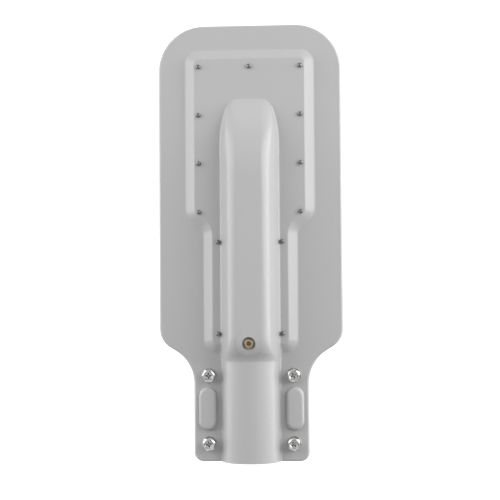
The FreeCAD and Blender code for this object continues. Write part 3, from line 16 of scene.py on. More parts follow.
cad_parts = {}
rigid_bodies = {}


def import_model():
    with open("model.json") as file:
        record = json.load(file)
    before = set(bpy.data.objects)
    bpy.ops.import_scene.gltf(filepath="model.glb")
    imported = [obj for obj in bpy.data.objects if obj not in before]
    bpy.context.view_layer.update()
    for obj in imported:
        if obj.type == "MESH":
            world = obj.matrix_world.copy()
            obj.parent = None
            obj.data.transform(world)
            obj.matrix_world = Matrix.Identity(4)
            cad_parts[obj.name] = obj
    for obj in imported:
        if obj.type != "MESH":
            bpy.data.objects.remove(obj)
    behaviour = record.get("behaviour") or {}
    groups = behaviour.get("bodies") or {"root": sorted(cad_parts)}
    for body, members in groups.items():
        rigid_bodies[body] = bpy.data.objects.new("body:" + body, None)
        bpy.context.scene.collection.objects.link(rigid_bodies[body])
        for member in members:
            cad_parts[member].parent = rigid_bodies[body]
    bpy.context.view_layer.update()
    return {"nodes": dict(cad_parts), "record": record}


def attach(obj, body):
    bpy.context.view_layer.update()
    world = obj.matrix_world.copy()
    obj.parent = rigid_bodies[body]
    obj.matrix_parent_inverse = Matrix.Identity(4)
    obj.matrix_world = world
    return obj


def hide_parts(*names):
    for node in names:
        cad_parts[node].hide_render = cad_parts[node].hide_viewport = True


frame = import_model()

Pair = tuple[float, float]
Point = tuple[float, float, float]
Face = tuple[int, ...]
Ring = Callable[[float], Pair]
Source = Node | NodeSocket

LOG = logging.getLogger("street_light_head")
MM = 0.001
CRISP_DEGREES = 35.0
FLAT_DEGREES = 0.5
MERGE_M = 1e-7
TINY = 1e-6
THREAD_STEPS = 5
TURN_SEED = 7


def linear(hex_text: str) -> tuple[float, float, float, float]:
    """Turn an sRGB hex colour into the linear colour that shaders take.

    Args:
        hex_text: Six hex digits, red first.

    Returns:
        Linear red, green and blue, and an alpha of one.
    """
    parts = [int(hex_text[index:index + 2], 16) / 255 for index in (0, 2, 4)]
    red, green, blue = [
        part / 12.92 if part <= 0.04045 else ((part + 0.055) / 1.055) ** 2.4 for part in parts]
    return (red, green, blue, 1.0)


def connect(node: Node, links: Mapping[str | int, Any]) -> None:
    """Link sockets to a node's inputs, or set values on them.

    Args:
        node: The node that gets them.
        links: Input name or number, and what goes there: a value, a socket, or a node, which stands for
            its first output in use.
    """
    for key, value in links.items():
        if isinstance(value, Node):
            value = next(output for output in value.outputs if output.enabled)
        if isinstance(value, NodeSocket):
            node.id_data.links.new(value, node.inputs[key])
        else:
            node.inputs[key].default_value = value


def add_node(tree: NodeTree, kind: str, links: Mapping[str | int, Any] | None = None,
             **settings: Any) -> Node:
    """Add a node with its settings and links.

    Args:
        tree: The shader or geometry tree that gets the node.
        kind: The node's type name.
        links: What goes to its inputs.
        settings: Properties of the node itself.

    Returns:
        The new node.
    """
    node = tree.nodes.new(kind)
    for name, value in settings.items():
        setattr(node, name, value)
    connect(node, links or {})
    return node


@dataclass(frozen=True)
class Finish(ABC):
    """What every finish shares.

    Attributes:
        name: The material's name.
        tint: Base colour as sRGB hex.
        roughness: Roughness of the bare surface.
        shade: Second colour, which patterns mix in, the tint itself if left out.
        metallic: Metallic value of the shader.
        ior: Index of refraction.
        swing: Least and greatest change that a pattern makes to the roughness.
        relief: Strength of the surface's relief, and its depth in millimetres.
    """

    name: str
    tint: str
    roughness: float
    shade: str = ""
    metallic: float = 0.0
    ior: float = 1.5
    swing: Pair = (0.0, 0.05)
    relief: Pair = (0.1, 0.05)

    def begin(self) -> tuple[Material, Node, NodeSocket]:
        """Start the material.

        Returns:
            The material, its principled shader and the object coordinates in metres.
        """
        material = bpy.data.materials.new(self.name)
        material.use_nodes = True
        tree = material.node_tree
        shader = tree.nodes["Principled BSDF"]
        connect(shader, {"Metallic": self.metallic, "IOR": self.ior, "Base Color": linear(self.tint),
                         "Roughness": self.roughness})
        return material, shader, add_node(tree, "ShaderNodeTexCoord").outputs["Object"]

    def surface(self, shader: Node, share: Source, level: Source, height: Source) -> Node:
        """Let patterns drive the colour, the roughness and the relief.

        Args:
            shader: The principled shader.
            share: Pattern that mixes the shade into the tint.
            level: Pattern that moves the roughness.
            height: Pattern of the relief.

        Returns:
            The node that mixes tint and shade.
        """
        tree = shader.id_data
        tint = add_node(tree, "ShaderNodeMix", {
            "Factor": share, 6: linear(self.tint), 7: linear(self.shade or self.tint)}, data_type="RGBA")
        least, most = [self.roughness + change for change in self.swing]
        gloss = add_node(tree, "ShaderNodeMapRange", {"Value": level, "To Min": least, "To Max": most})
        wave = add_node(tree, "ShaderNodeBump", {
            "Strength": self.relief[0], "Distance": self.relief[1] * MM, "Height": height})
        connect(shader, {"Base Color": tint, "Roughness": gloss, "Normal": wave})
        return tint

    @abstractmethod
    def build(self) -> Material:
        """Build the material."""


@dataclass(frozen=True)
class PowderCoat(Finish):
    """Satin powder coat on aluminium.

    Attributes:
        sheen: Strength of the clear reflection over the colour.
        cloud_mm: Size of the large clouds.
        peel_mm: Size of the orange-peel waves.
        grit_mm: Size of the grains, far coarser than the real ones so that they show.
        most_shade: Largest share of the shade that clouds and grit reach together.
    """

    swing: Pair = (-0.03, 0.03)
    relief: Pair = (0.08, 0.05)
    sheen: float = 0.35
    cloud_mm: float = 60.0
    peel_mm: float = 3.6
    grit_mm: float = 2.2
    most_shade: float = 0.8

    def build(self) -> Material:
        """Soft broad highlights, with a faint orange peel that breaks them up.

        Returns:
            The material.
        """
        material, shader, place = self.begin()
        connect(shader, {"Specular IOR Level": self.sheen})
        tree = material.node_tree
        clouds, grit, peel = [
            add_node(tree, "ShaderNodeTexNoise", {"Vector": place, "Scale": 1 / (size * MM), "Detail": fine})
            for size, fine in ((self.cloud_mm, 3.0), (self.grit_mm, 2.0), (self.peel_mm, 1.0))]
        both = add_node(tree, "ShaderNodeMath", {0: clouds, 1: grit}, operation="MULTIPLY")
        share = add_node(tree, "ShaderNodeMapRange", {"Value": both, "To Max": self.most_shade})
        self.surface(shader, share, clouds, peel)
        return material


@dataclass(frozen=True)
class PlatedMetal(Finish):
    """Turned or rolled metal, uncoated or plated, whose shade is the tint of its duller patches.

    Attributes:
        patch_mm: Size of the patches.
        grain_mm: Width of the tool marks.
        stretch: How much shorter the marks are across than along, for each axis.
        recess_shade: Colour of the painted shade that darkens recesses and thread roots.
        recess_shade_mm: How far from a corner that painted shade reaches.
        open_sky: Share of open sky at which the painted shade begins to thin, and at which it is gone.
    """

    metallic: float = 1.0
    swing: Pair = (-0.07, 0.12)
    relief: Pair = (0.25, 0.02)
    patch_mm: float = 3.0
    grain_mm: float = 0.25
    stretch: Point = (1.0, 1.0, 6.0)
    recess_shade: str = "2E2F31"
    recess_shade_mm: float = 1.5
    open_sky: Pair = (0.35, 0.85)

    def build(self) -> Material:
        """Bright metal whose patches and fine marks break its reflections, and whose recesses darken with
        painted shade.

        Returns:
            The material.
        """
        material, shader, place = self.begin()
        tree = material.node_tree
        patches = add_node(tree, "ShaderNodeTexNoise", {
            "Vector": place, "Scale": 1 / (self.patch_mm * MM), "Detail": 4.0, "Roughness": 0.6})
        turned = add_node(tree, "ShaderNodeMapping", {"Vector": place, "Scale": self.stretch})
        marks = add_node(tree, "ShaderNodeTexNoise", {
            "Vector": turned, "Detail": 2.0, "Scale": 1 / (self.grain_mm * MM * max(self.stretch))})
        tint = self.surface(shader, patches, patches, marks)
        # Painted shade: where ambient occlusion finds little open sky, in recesses, thread roots and corners,
        # the colour darkens.
        corner = add_node(tree, "ShaderNodeAmbientOcclusion", {"Distance": self.recess_shade_mm * MM})
        unshaded_share = add_node(tree, "ShaderNodeMapRange", {
            "Value": corner.outputs["AO"], "From Min": self.open_sky[0], "From Max": self.open_sky[1]})
        recess_shaded_tint = add_node(tree, "ShaderNodeMix", {"Factor": unshaded_share, 6: linear(self.recess_shade), 7: tint},
                        data_type="RGBA")
        connect(shader, {"Base Color": recess_shaded_tint})
        return material


@dataclass(frozen=True)
class GalvanisedSteel(Finish):
    """Hot-dip galvanised flat bar, whose shade is the tint of its darker crystals.

    Attributes:
        spangle_mm: Width of one zinc crystal.
        grain_mm: Size of the fine roughness over the crystals.
    """

    metallic: float = 1.0
    swing: Pair = (-0.08, 0.08)
    relief: Pair = (0.2, 0.03)
    spangle_mm: float = 6.0
    grain_mm: float = 0.8

    def build(self) -> Material:
        """Dull grey metal with the patchwork of crystals that a zinc bath leaves.

        Returns:
            The material.
        """
        material, shader, place = self.begin()
        tree = material.node_tree
        cells = add_node(tree, "ShaderNodeTexVoronoi", {"Vector": place, "Scale": 1 / (self.spangle_mm * MM)})
        level = add_node(tree, "ShaderNodeSeparateColor", {"Color": cells.outputs["Color"]})
        grain = add_node(tree, "ShaderNodeTexNoise", {"Vector": place, "Scale": 1 / (self.grain_mm * MM)})
        self.surface(shader, level.outputs["Red"], level.outputs["Green"], grain)
        return material


@dataclass(frozen=True)
class MouldedPlastic(Finish):
    """Injection-moulded nylon, insulation, silicone rubber or a filled sheet, faintly cloudy.

    Attributes:
        cloud_mm: Size of the cloudy patches, which reach the shade.
        grain_mm: Size of the spark-eroded or matt grain.
    """

    ior: float = 1.53
    swing: Pair = (-0.05, 0.05)
    relief: Pair = (0.3, 0.02)
    cloud_mm: float = 8.0
    grain_mm: float = 0.5

    def build(self) -> Material:
        """Even colour under a fine grain that keeps the highlights soft.

        Returns:
            The material.
        """
        material, shader, place = self.begin()
        tree = material.node_tree
        clouds, grain = [add_node(tree, "ShaderNodeTexNoise", {"Vector": place, "Scale": 1 / (size * MM)})
                         for size in (self.cloud_mm, self.grain_mm)]
        self.surface(shader, clouds, grain, grain)
        return material


@dataclass(frozen=True)
class ClearPolycarbonate(Finish):
    """Clear moulded polycarbonate.

    Attributes:
        flow_mm: Width of the faint flow lines left by moulding.
    """

    ior: float = 1.58
    flow_mm: float = 9.0

    def build(self) -> Material:
        """Glass-like sheet that bends what lies behind it and shows faint flow lines.

        Returns:
            The material.
        """
        material, shader, place = self.begin()
        connect(shader, {"Transmission Weight": 1.0})
        flow = add_node(material.node_tree, "ShaderNodeTexNoise", {
            "Vector": place, "Scale": 1 / (self.flow_mm * MM)})
        self.surface(shader, flow, flow, flow)
        return material


@dataclass(frozen=True)
class LampPackage(Finish):
    """White ceramic lamp package with a round window of yellow phosphor, which is its shade.

    Attributes:
        window_mm: Radius of the window.
        pitch_mm: Distance between lamps along X and Y.
        centre_mm: A lamp's centre.
    """

    ior: float = 1.6
    window_mm: float = 1.9
    pitch_mm: Pair = (19.0, 19.5)
    centre_mm: Pair = (9.5, 344.5)

    def build(self) -> Material:
        """A yellow disc in the middle of each white square.

        Returns:
            The material.
        """
        material, shader, place = self.begin()
        tree = material.node_tree
        axes = add_node(tree, "ShaderNodeSeparateXYZ", {0: place})
        squares = []
        for axis in (0, 1):
            moved = add_node(tree, "ShaderNodeMath", {0: axes.outputs[axis], 1: self.centre_mm[axis] * MM},
                             operation="SUBTRACT")
            pitch = self.pitch_mm[axis] * MM
            offset = add_node(tree, "ShaderNodeMath", {0: moved, 1: -pitch / 2, 2: pitch / 2},
                              operation="WRAP")
            squares.append(add_node(tree, "ShaderNodeMath", {0: offset, 1: 2.0}, operation="POWER"))
        total = add_node(tree, "ShaderNodeMath", {0: squares[0], 1: squares[1]}, operation="ADD")
        inside = add_node(tree, "ShaderNodeMath", {0: total, 1: (self.window_mm * MM) ** 2},
                          operation="LESS_THAN")
        tint = add_node(tree, "ShaderNodeMix", {
            "Factor": inside, 6: linear(self.tint), 7: linear(self.shade)}, data_type="RGBA")
        connect(shader, {"Base Color": tint})
        return material


class Slot(Enum):
    """Material slots of the record."""

    PAINT = "light_grey_paint"
    ZINC = "zinc_steel"
    STRAP = "strap_steel"
    BRASS = "brass"
    RUBBER = "seal_rubber"
    THERMAL = "thermal_grey"
    BOARD = "board_white"
    LAMP = "lamp_yellow"
    LENS = "clear_polycarbonate"
    DRIVER = "driver_aluminium"
    BLACK = "dark_plastic"
    NYLON = "pale_nylon"
    BROWN = "lead_brown"
    BLUE = "lead_blue"
    GREEN = "lead_green"
    RED = "lead_red"
    DARK = "lead_black"


FINISHES: dict[Slot, Finish] = {
    Slot.PAINT: PowderCoat("powder_coated_aluminium", "BBBABB", 0.26, "B4B5B7"),
    # Painted shade: zinc and brass set here the colour and reach of the darkening in their recesses.
    Slot.ZINC: PlatedMetal("zinc_plated_steel", "CBCAC9", 0.16, "757473", patch_mm=1.8, recess_shade="1E1E1D",
                           recess_shade_mm=1.3),
    Slot.STRAP: GalvanisedSteel("hot_dip_galvanised_steel", "B2B3B3", 0.42, "989A9B"),
    Slot.BRASS: PlatedMetal("turned_brass", "B6A484", 0.22, "75643F", recess_shade="2B2213", recess_shade_mm=3.0),
    Slot.RUBBER: MouldedPlastic("black_silicone_rubber", "1A1A1B", 0.62, "202021", ior=1.43),
    Slot.THERMAL: MouldedPlastic("filled_thermal_sheet", "83888E", 0.7, "787D83"),
    Slot.BOARD: MouldedPlastic("white_solder_mask", "EDEDE9", 0.35, "E4E4DF", grain_mm=1.4),
    Slot.LAMP: LampPackage("ceramic_lamp_package", "EFEDE4", 0.3, "E8C64A"),
    Slot.LENS: ClearPolycarbonate("clear_polycarbonate", "F4F7F8", 0.03),
    Slot.DRIVER: PlatedMetal("extruded_aluminium", "B9BBBE", 0.38, "A3A5A8", stretch=(8.0, 1.0, 8.0)),
    Slot.BLACK: MouldedPlastic("black_nylon", "222224", 0.5, "202021"),
    Slot.NYLON: MouldedPlastic("natural_nylon", "DDD9CD", 0.45, "D2CEC1"),
    **{Slot("lead_" + colour): MouldedPlastic(colour + "_pvc_insulation", tint, 0.35, shade)
       for colour, tint, shade in (
           ("brown", "5B3A26", "523422"), ("blue", "2A5CA8", "25529A"), ("green", "4E9A3B", "468C35"),
           ("red", "B3231C", "A32019"), ("black", "19191A", "202021"))},
}

# The ends of the long plate screws get a darker tint than the other zinc, a painted dark reflection, with
# painted shade deep in their threads.
DARK_REFLECTION_FINISHES: dict[str, Finish] = {
    "carrier_screws": PlatedMetal("zinc_plated_steel_painted_dark", "7F7E7C", 0.16, "4F4E4C", patch_mm=2.2,
                                  recess_shade="1C1B1A", recess_shade_mm=2.0),
}


def circle(radius: float, height: float) -> Ring:
    """Round ring of a stack, sizes in millimetres."""
    return lambda angle: (radius, height)


def hexagon(across: float, height: float, turn: float = 0.0) -> Ring:
    """Six-sided ring of a stack, by its width across the flats, turned by degrees."""
    side = math.pi / 3
    return lambda angle: (across / 2 / math.cos((angle - math.radians(turn)) % side - side / 2), height)


def bevelled_hexagon(across: float, height: float, flat_radius: float, fall: float) -> Ring:
    """Six-sided ring whose corners fall away from a flat round face, or rise from it if fall is negative."""
    plain = hexagon(across, height)
    return lambda angle: (plain(angle)[0], height - (plain(angle)[0] - flat_radius) * fall)


def cross(reach: float, half_width: float, height: float) -> Ring:
    """Cross-shaped ring, for the recess of a screw's drive.

    Args:
        reach: From the middle to the end of an arm.
        half_width: Half an arm's width.
        height: Height of the ring.

    Returns:
        The ring.
    """
    def ring(angle: float) -> Pair:
        """Distance and height of the ring at one angle."""
        local = abs((angle + math.pi / 4) % (math.pi / 2) - math.pi / 4)
        return min(reach / math.cos(local), half_width / max(math.sin(local), TINY)), height
    return ring


def thread(radius: float, pitch: float, depth: float, start: float, end: float) -> list[Ring]:
    """Rings of a screw thread.

    Args:
        radius: Outer radius in millimetres.
        pitch: Rise of one turn.
        depth: Depth of the groove.
        start: Height where the thread begins.
        end: Height where it ends.

    Returns:
        The rings in order from start to end.
    """
    count = max(int(abs(end - start) / pitch * THREAD_STEPS), 2)

    def ring(height: float) -> Ring:
        """Ring of the thread at one height."""
        return lambda angle: (
            radius - depth * abs(2 * ((height / pitch - angle / (2 * math.pi)) % 1.0) - 1), height)
    return [ring(start + (end - start) * step / count) for step in range(count + 1)]


def soft_section(bore: float, outer: float, height: float, soft: float) -> list[Pair]:
    """Corners of a washer's section as radius and height, its rims softened."""
    return [(bore, soft), (bore + soft, 0.0), (outer - soft, 0.0), (outer, soft), (outer, height - soft),
            (outer - soft, height), (bore + soft, height), (bore, height - soft)]


def polar(radius: float, angle: float, height: float) -> Point:
    """Point in metres at a distance and an angle about the Z axis, sizes in millimetres."""
    return radius * math.cos(angle) * MM, radius * math.sin(angle) * MM, height * MM


def bands(rows: int, size: int, joined: bool = False) -> list[Face]:
    """Faces between rows of points.

    Args:
        rows: How many rows there are, each a closed loop.
        size: How many points a row has.
        joined: True joins the last row to the first.

    Returns:
        The faces, one row after the other.
    """
    faces: list[Face] = []
    for row in range(rows if joined else rows - 1):
        low, high = row * size, (row + 1) % rows * size
        for step in range(size):
            after = (step + 1) % size
            faces.append((low + step, low + after, high + after, high + step))
    return faces


def stack(name: str, rings: Sequence[Ring], segments: int, hollow: bool = False) -> Mesh:
    """Closed mesh through a stack of rings.

    Args:
        name: The mesh's name.
        rings: The rings in order along the surface, sizes in millimetres.
        segments: How many points a ring has.
        hollow: True joins the last ring to the first, False closes both ends with a fan.

    Returns:
        The mesh, in metres.
    """
    points: list[Point] = []
    for ring in rings:
        for step in range(segments):
            angle = 2 * math.pi * step / segments
            radius, height = ring(angle)
            points.append(polar(radius, angle, height))
    faces = bands(len(rings), segments, hollow)
    if not hollow:
        for index in (0, len(rings) - 1):
            centre = len(points)
            points.append((0.0, 0.0, rings[index](0.0)[1] * MM))
            for step in range(segments):
                faces.append((index * segments + step, index * segments + (step + 1) % segments, centre))
    return finish_mesh(name, points, faces)


def finish_mesh(name: str, points: Sequence[Sequence[float]], faces: Sequence[Sequence[int]],
                sharp_degrees: float = CRISP_DEGREES) -> Mesh:
    """Merge, turn outwards and shade a mesh.

    Args:
        name: The mesh's name.
        points: Corners in metres.
        faces: Faces by corner number.
        sharp_degrees: Edges sharper than this stay crisp.

    Returns:
        The mesh.
    """
    mesh = bpy.data.meshes.new(name)
    mesh.from_pydata([tuple(point) for point in points], [], [tuple(face) for face in faces])
    work = bmesh.new()
    work.from_mesh(mesh)
    bmesh.ops.remove_doubles(work, verts=work.verts, dist=MERGE_M)
    bmesh.ops.recalc_face_normals(work, faces=work.faces)
    work.to_mesh(mesh)
    work.free()
    mesh.shade_smooth()
    mesh.set_sharp_from_angle(angle=math.radians(sharp_degrees))
    return mesh


def add_object(name: str, data: bpy.types.ID) -> Object:
    """Add an object to the scene.

    Args:
        name: Its name.
        data: Mesh, light or camera that it holds.

    Returns:
        The object.
    """
    result = bpy.data.objects.new(name, data)
    bpy.context.scene.collection.objects.link(result)
    return result


def settle(source: Object, name: str) -> Object:
    """Plain object with a source's modifiers worked into its mesh.

    Args:
        source: Object with live modifiers, which is removed.
        name: Name of the new object.

    Returns:
        The new object, at the origin.
    """
    bpy.context.view_layer.update()
    graph = bpy.context.evaluated_depsgraph_get()
    mesh = bpy.data.meshes.new_from_object(source.evaluated_get(graph), depsgraph=graph)
    mesh.name = name
    bpy.data.objects.remove(source)
    return add_object(name, mesh)


@dataclass
class Workshop:
    """Builds each finish once, dresses CAD nodes and sets repeated pieces out.

    Attributes:
        nodes: The CAD nodes by name.
        slots: The record's slot of each node.
        materials: The materials built so far, by name.
    """

    nodes: dict[str, Object]
    slots: dict[str, Slot]
    materials: dict[str, Material]

    def material(self, node: str) -> Material:
        """Find a CAD node's material, and build it the first time it is asked for.

        Args:
            node: The CAD node.

        Returns:
            The material.
        """
        finish = DARK_REFLECTION_FINISHES.get(node, FINISHES[self.slots[node]])
        if finish.name not in self.materials:
            self.materials[finish.name] = finish.build()
        return self.materials[finish.name]

    def coat(self, target: Object, node: str) -> None:
        """Give an object the finish of a CAD node."""
        target.data.materials.clear()
        target.data.materials.append(self.material(node))

    def paint(self, node: str) -> None:
        """Give a CAD node the finish of its slot."""
        self.coat(self.nodes[node], node)
        LOG.info("finish %s on %s", self.slots[node].value, node)

    def adopt(self, piece: Object, node: str) -> None:
        """Let a finished piece stand for a CAD node.

        Args:
            piece: The finished object.
            node: The CAD node it replaces.
        """
        self.coat(piece, node)
        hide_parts(node)
        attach(piece, "root")
        LOG.info("piece %s for %s, %d faces", piece.name, node, len(piece.data.polygons))

    def smooth_copy(self, node: str, edge_mm: float = 0.0, sharp_degrees: float = CRISP_DEGREES) -> None:
        """Merged and softly shaded copy of a CAD node, with its sharp edges rounded where asked.

        Args:
            node: The CAD node.
            edge_mm: Width of the rounding on sharp edges, none if zero.
            sharp_degrees: Edges sharper than this stay crisp.
        """
        data = self.nodes[node].data
        mesh = finish_mesh(node + "_skin", [v.co for v in data.vertices],
                           [p.vertices for p in data.polygons], sharp_degrees)
        source = add_object(node + "_source", mesh)
        if edge_mm > 0:
            flat = source.modifiers.new("flat", "DECIMATE")
            flat.decimate_type = "DISSOLVE"
            flat.angle_limit = math.radians(FLAT_DEGREES)
            bevel = source.modifiers.new("edges", "BEVEL")
            bevel.width = edge_mm * MM
            bevel.segments = 2
            bevel.angle_limit = math.radians(sharp_degrees)
        source.modifiers.new("normals", "WEIGHTED_NORMAL").keep_sharp = True
        self.adopt(settle(source, node + "_skin"), node)

    def scatter_tree(self) -> NodeTree:
        """Geometry tree that sets a form out on points.

        Returns:
            The tree, with named inputs for the form, the turn and its spread, the seed and the material.
        """
        tree = bpy.data.node_groups.new("set_out_pieces", "GeometryNodeTree")
        kinds = {"Geometry": "Geometry", "Form": "Object", "Spread": "Float", "Seed": "Int",
                 "Finish": "Material"}
        for label, kind in kinds.items():
            tree.interface.new_socket(label, in_out="INPUT", socket_type="NodeSocket" + kind)
        tree.interface.new_socket("Geometry", in_out="OUTPUT", socket_type="NodeSocketGeometry")
        inputs = add_node(tree, "NodeGroupInput").outputs
        points = add_node(tree, "GeometryNodeMeshToPoints", {"Mesh": inputs["Geometry"]})
        form = add_node(tree, "GeometryNodeObjectInfo", {"Object": inputs["Form"], "As Instance": True})
        given = add_node(tree, "GeometryNodeInputNamedAttribute", {"Name": "turn"}, data_type="FLOAT")
        low = add_node(tree, "ShaderNodeMath", {0: inputs["Spread"], 1: -1.0}, operation="MULTIPLY")
        chance = add_node(tree, "FunctionNodeRandomValue", {
            2: low, 3: inputs["Spread"], "Seed": inputs["Seed"]}, data_type="FLOAT")
        turn = add_node(tree, "ShaderNodeMath", {0: given, 1: chance}, operation="ADD")
        spin = add_node(tree, "ShaderNodeCombineXYZ", {"Z": turn})
        placed = add_node(tree, "GeometryNodeInstanceOnPoints", {
            "Points": points, "Instance": form.outputs["Geometry"], "Rotation": spin})
        solid = add_node(tree, "GeometryNodeRealizeInstances", {"Geometry": placed})
        dressed = add_node(tree, "GeometryNodeSetMaterial", {"Geometry": solid, "Material": inputs["Finish"]})
        add_node(tree, "NodeGroupOutput", {"Geometry": dressed})
        return tree

    def set_out(self, node: str, form: Mesh, places: Sequence[Pair],
                turns: Sequence[float] | None = None, spread: float = math.pi) -> None:
        """Repeat one form at several places and let the group stand for a CAD node.

        Args:
            node: The CAD node that the group replaces.
            form: Mesh of one piece, at its real height.
            places: X and Y of each piece in millimetres.
            turns: Turn of each piece in degrees, zero for all if left out.
            spread: Largest random turn either way, in radians.
        """
        points = bpy.data.meshes.new(node + "_places")
        points.from_pydata([(x * MM, y * MM, 0.0) for x, y in places], [], [])
        angles = points.attributes.new("turn", "FLOAT", "POINT")
        angles.data.foreach_set("value", [math.radians(turn) for turn in turns or [0.0] * len(places)])
        carrier = add_object(node + "_carrier", points)
        pattern = add_object(node + "_form", form)
        tree = bpy.data.node_groups.get("set_out_pieces") or self.scatter_tree()
        modifier = carrier.modifiers.new("set_out", "NODES")
        modifier.node_group = tree
        wanted = {"Form": pattern, "Spread": spread, "Seed": TURN_SEED, "Finish": self.material(node)}
        for socket in tree.interface.items_tree:
            if socket.in_out == "INPUT" and socket.name in wanted:
                modifier[socket.identifier] = wanted[socket.name]
        piece = settle(carrier, node + "_pieces")
        bpy.data.objects.remove(pattern)
        self.adopt(piece, node)


class Facing(Enum):
    """Which way a screw's head looks."""

    UP = 1
    DOWN = -1


@dataclass(frozen=True)
class ScrewSize:
    """Pan head machine screw with a cross recess, in millimetres, and the points round its mesh."""

    shank_r: float
    head_r: float
    head_height: float
    pitch: float
    segments: int = 40


SMALL_SCREW = ScrewSize(1.5, 2.8, 1.8, 0.5, 32)
DRIVER_SCREW = ScrewSize(2.0, 3.8, 2.4, 0.7)
LUG_SCREW = ScrewSize(2.0, 3.6, 2.4, 0.7)
CARRIER_SCREW = ScrewSize(2.5, 4.5, 2.4, 0.8)

# Shares of the head's radius and height: the recess's reach, half width and depth, then the crown's radius
# and depth. Then shares of the shank's radius and of the chamfer for the domed end. Last, the neck's radius
# and the chamfer's length as shares of the shank's radius, the millimetres between head and thread, and a
# thread's depth as a share of its pitch.
RECESS = ((0.2, 0.08, 0.55), (0.48, 0.13, 0.1), (0.53, 0.16, 0.0))
CROWN = ((0.66, 0.0), (0.86, 0.1), (0.97, 0.32), (1.0, 0.55))
DOMED_END = ((0.86, 0.62), (0.62, 0.26), (0.36, 0.07), (0.12, 0.0))
NECK = 0.96
CHAMFER = 0.4
THREAD_GAP = 0.05
GROOVE = 0.5


@dataclass(frozen=True)
class PanScrew:
    """One screw at its place in height, in millimetres.

    Attributes:
        size: Its radii, its head's height and its thread.
        seat: Height of the surface that the head bears on.
        length: Length under the head.
        facing: Which way the head looks.
    """

    size: ScrewSize
    seat: float
    length: float
    facing: Facing = Facing.UP

    def form(self, name: str) -> Mesh:
        """Mesh of the screw at its real height.

        Args:
            name: The mesh's name.

        Returns:
            The mesh.
        """
        out = self.facing.value
        head_r, head_height, shank_r = self.size.head_r, self.size.head_height, self.size.shank_r
        top = self.seat + out * head_height
        tip = self.seat - out * self.length
        chamfer = shank_r * CHAMFER
        rings = [cross(head_r * reach, head_r * half, top - out * head_height * deep)
                 for reach, half, deep in RECESS]
        rings += [circle(head_r * share, top - out * head_height * deep) for share, deep in CROWN]
        rings += [circle(head_r, self.seat), circle(shank_r * NECK, self.seat)]
        rings += thread(shank_r, self.size.pitch, self.size.pitch * GROOVE, self.seat - out * THREAD_GAP,
                        tip + out * chamfer)
        rings += [circle(shank_r * share, tip + out * chamfer * rise) for share, rise in DOMED_END]
        return stack(name, rings, self.size.segments)


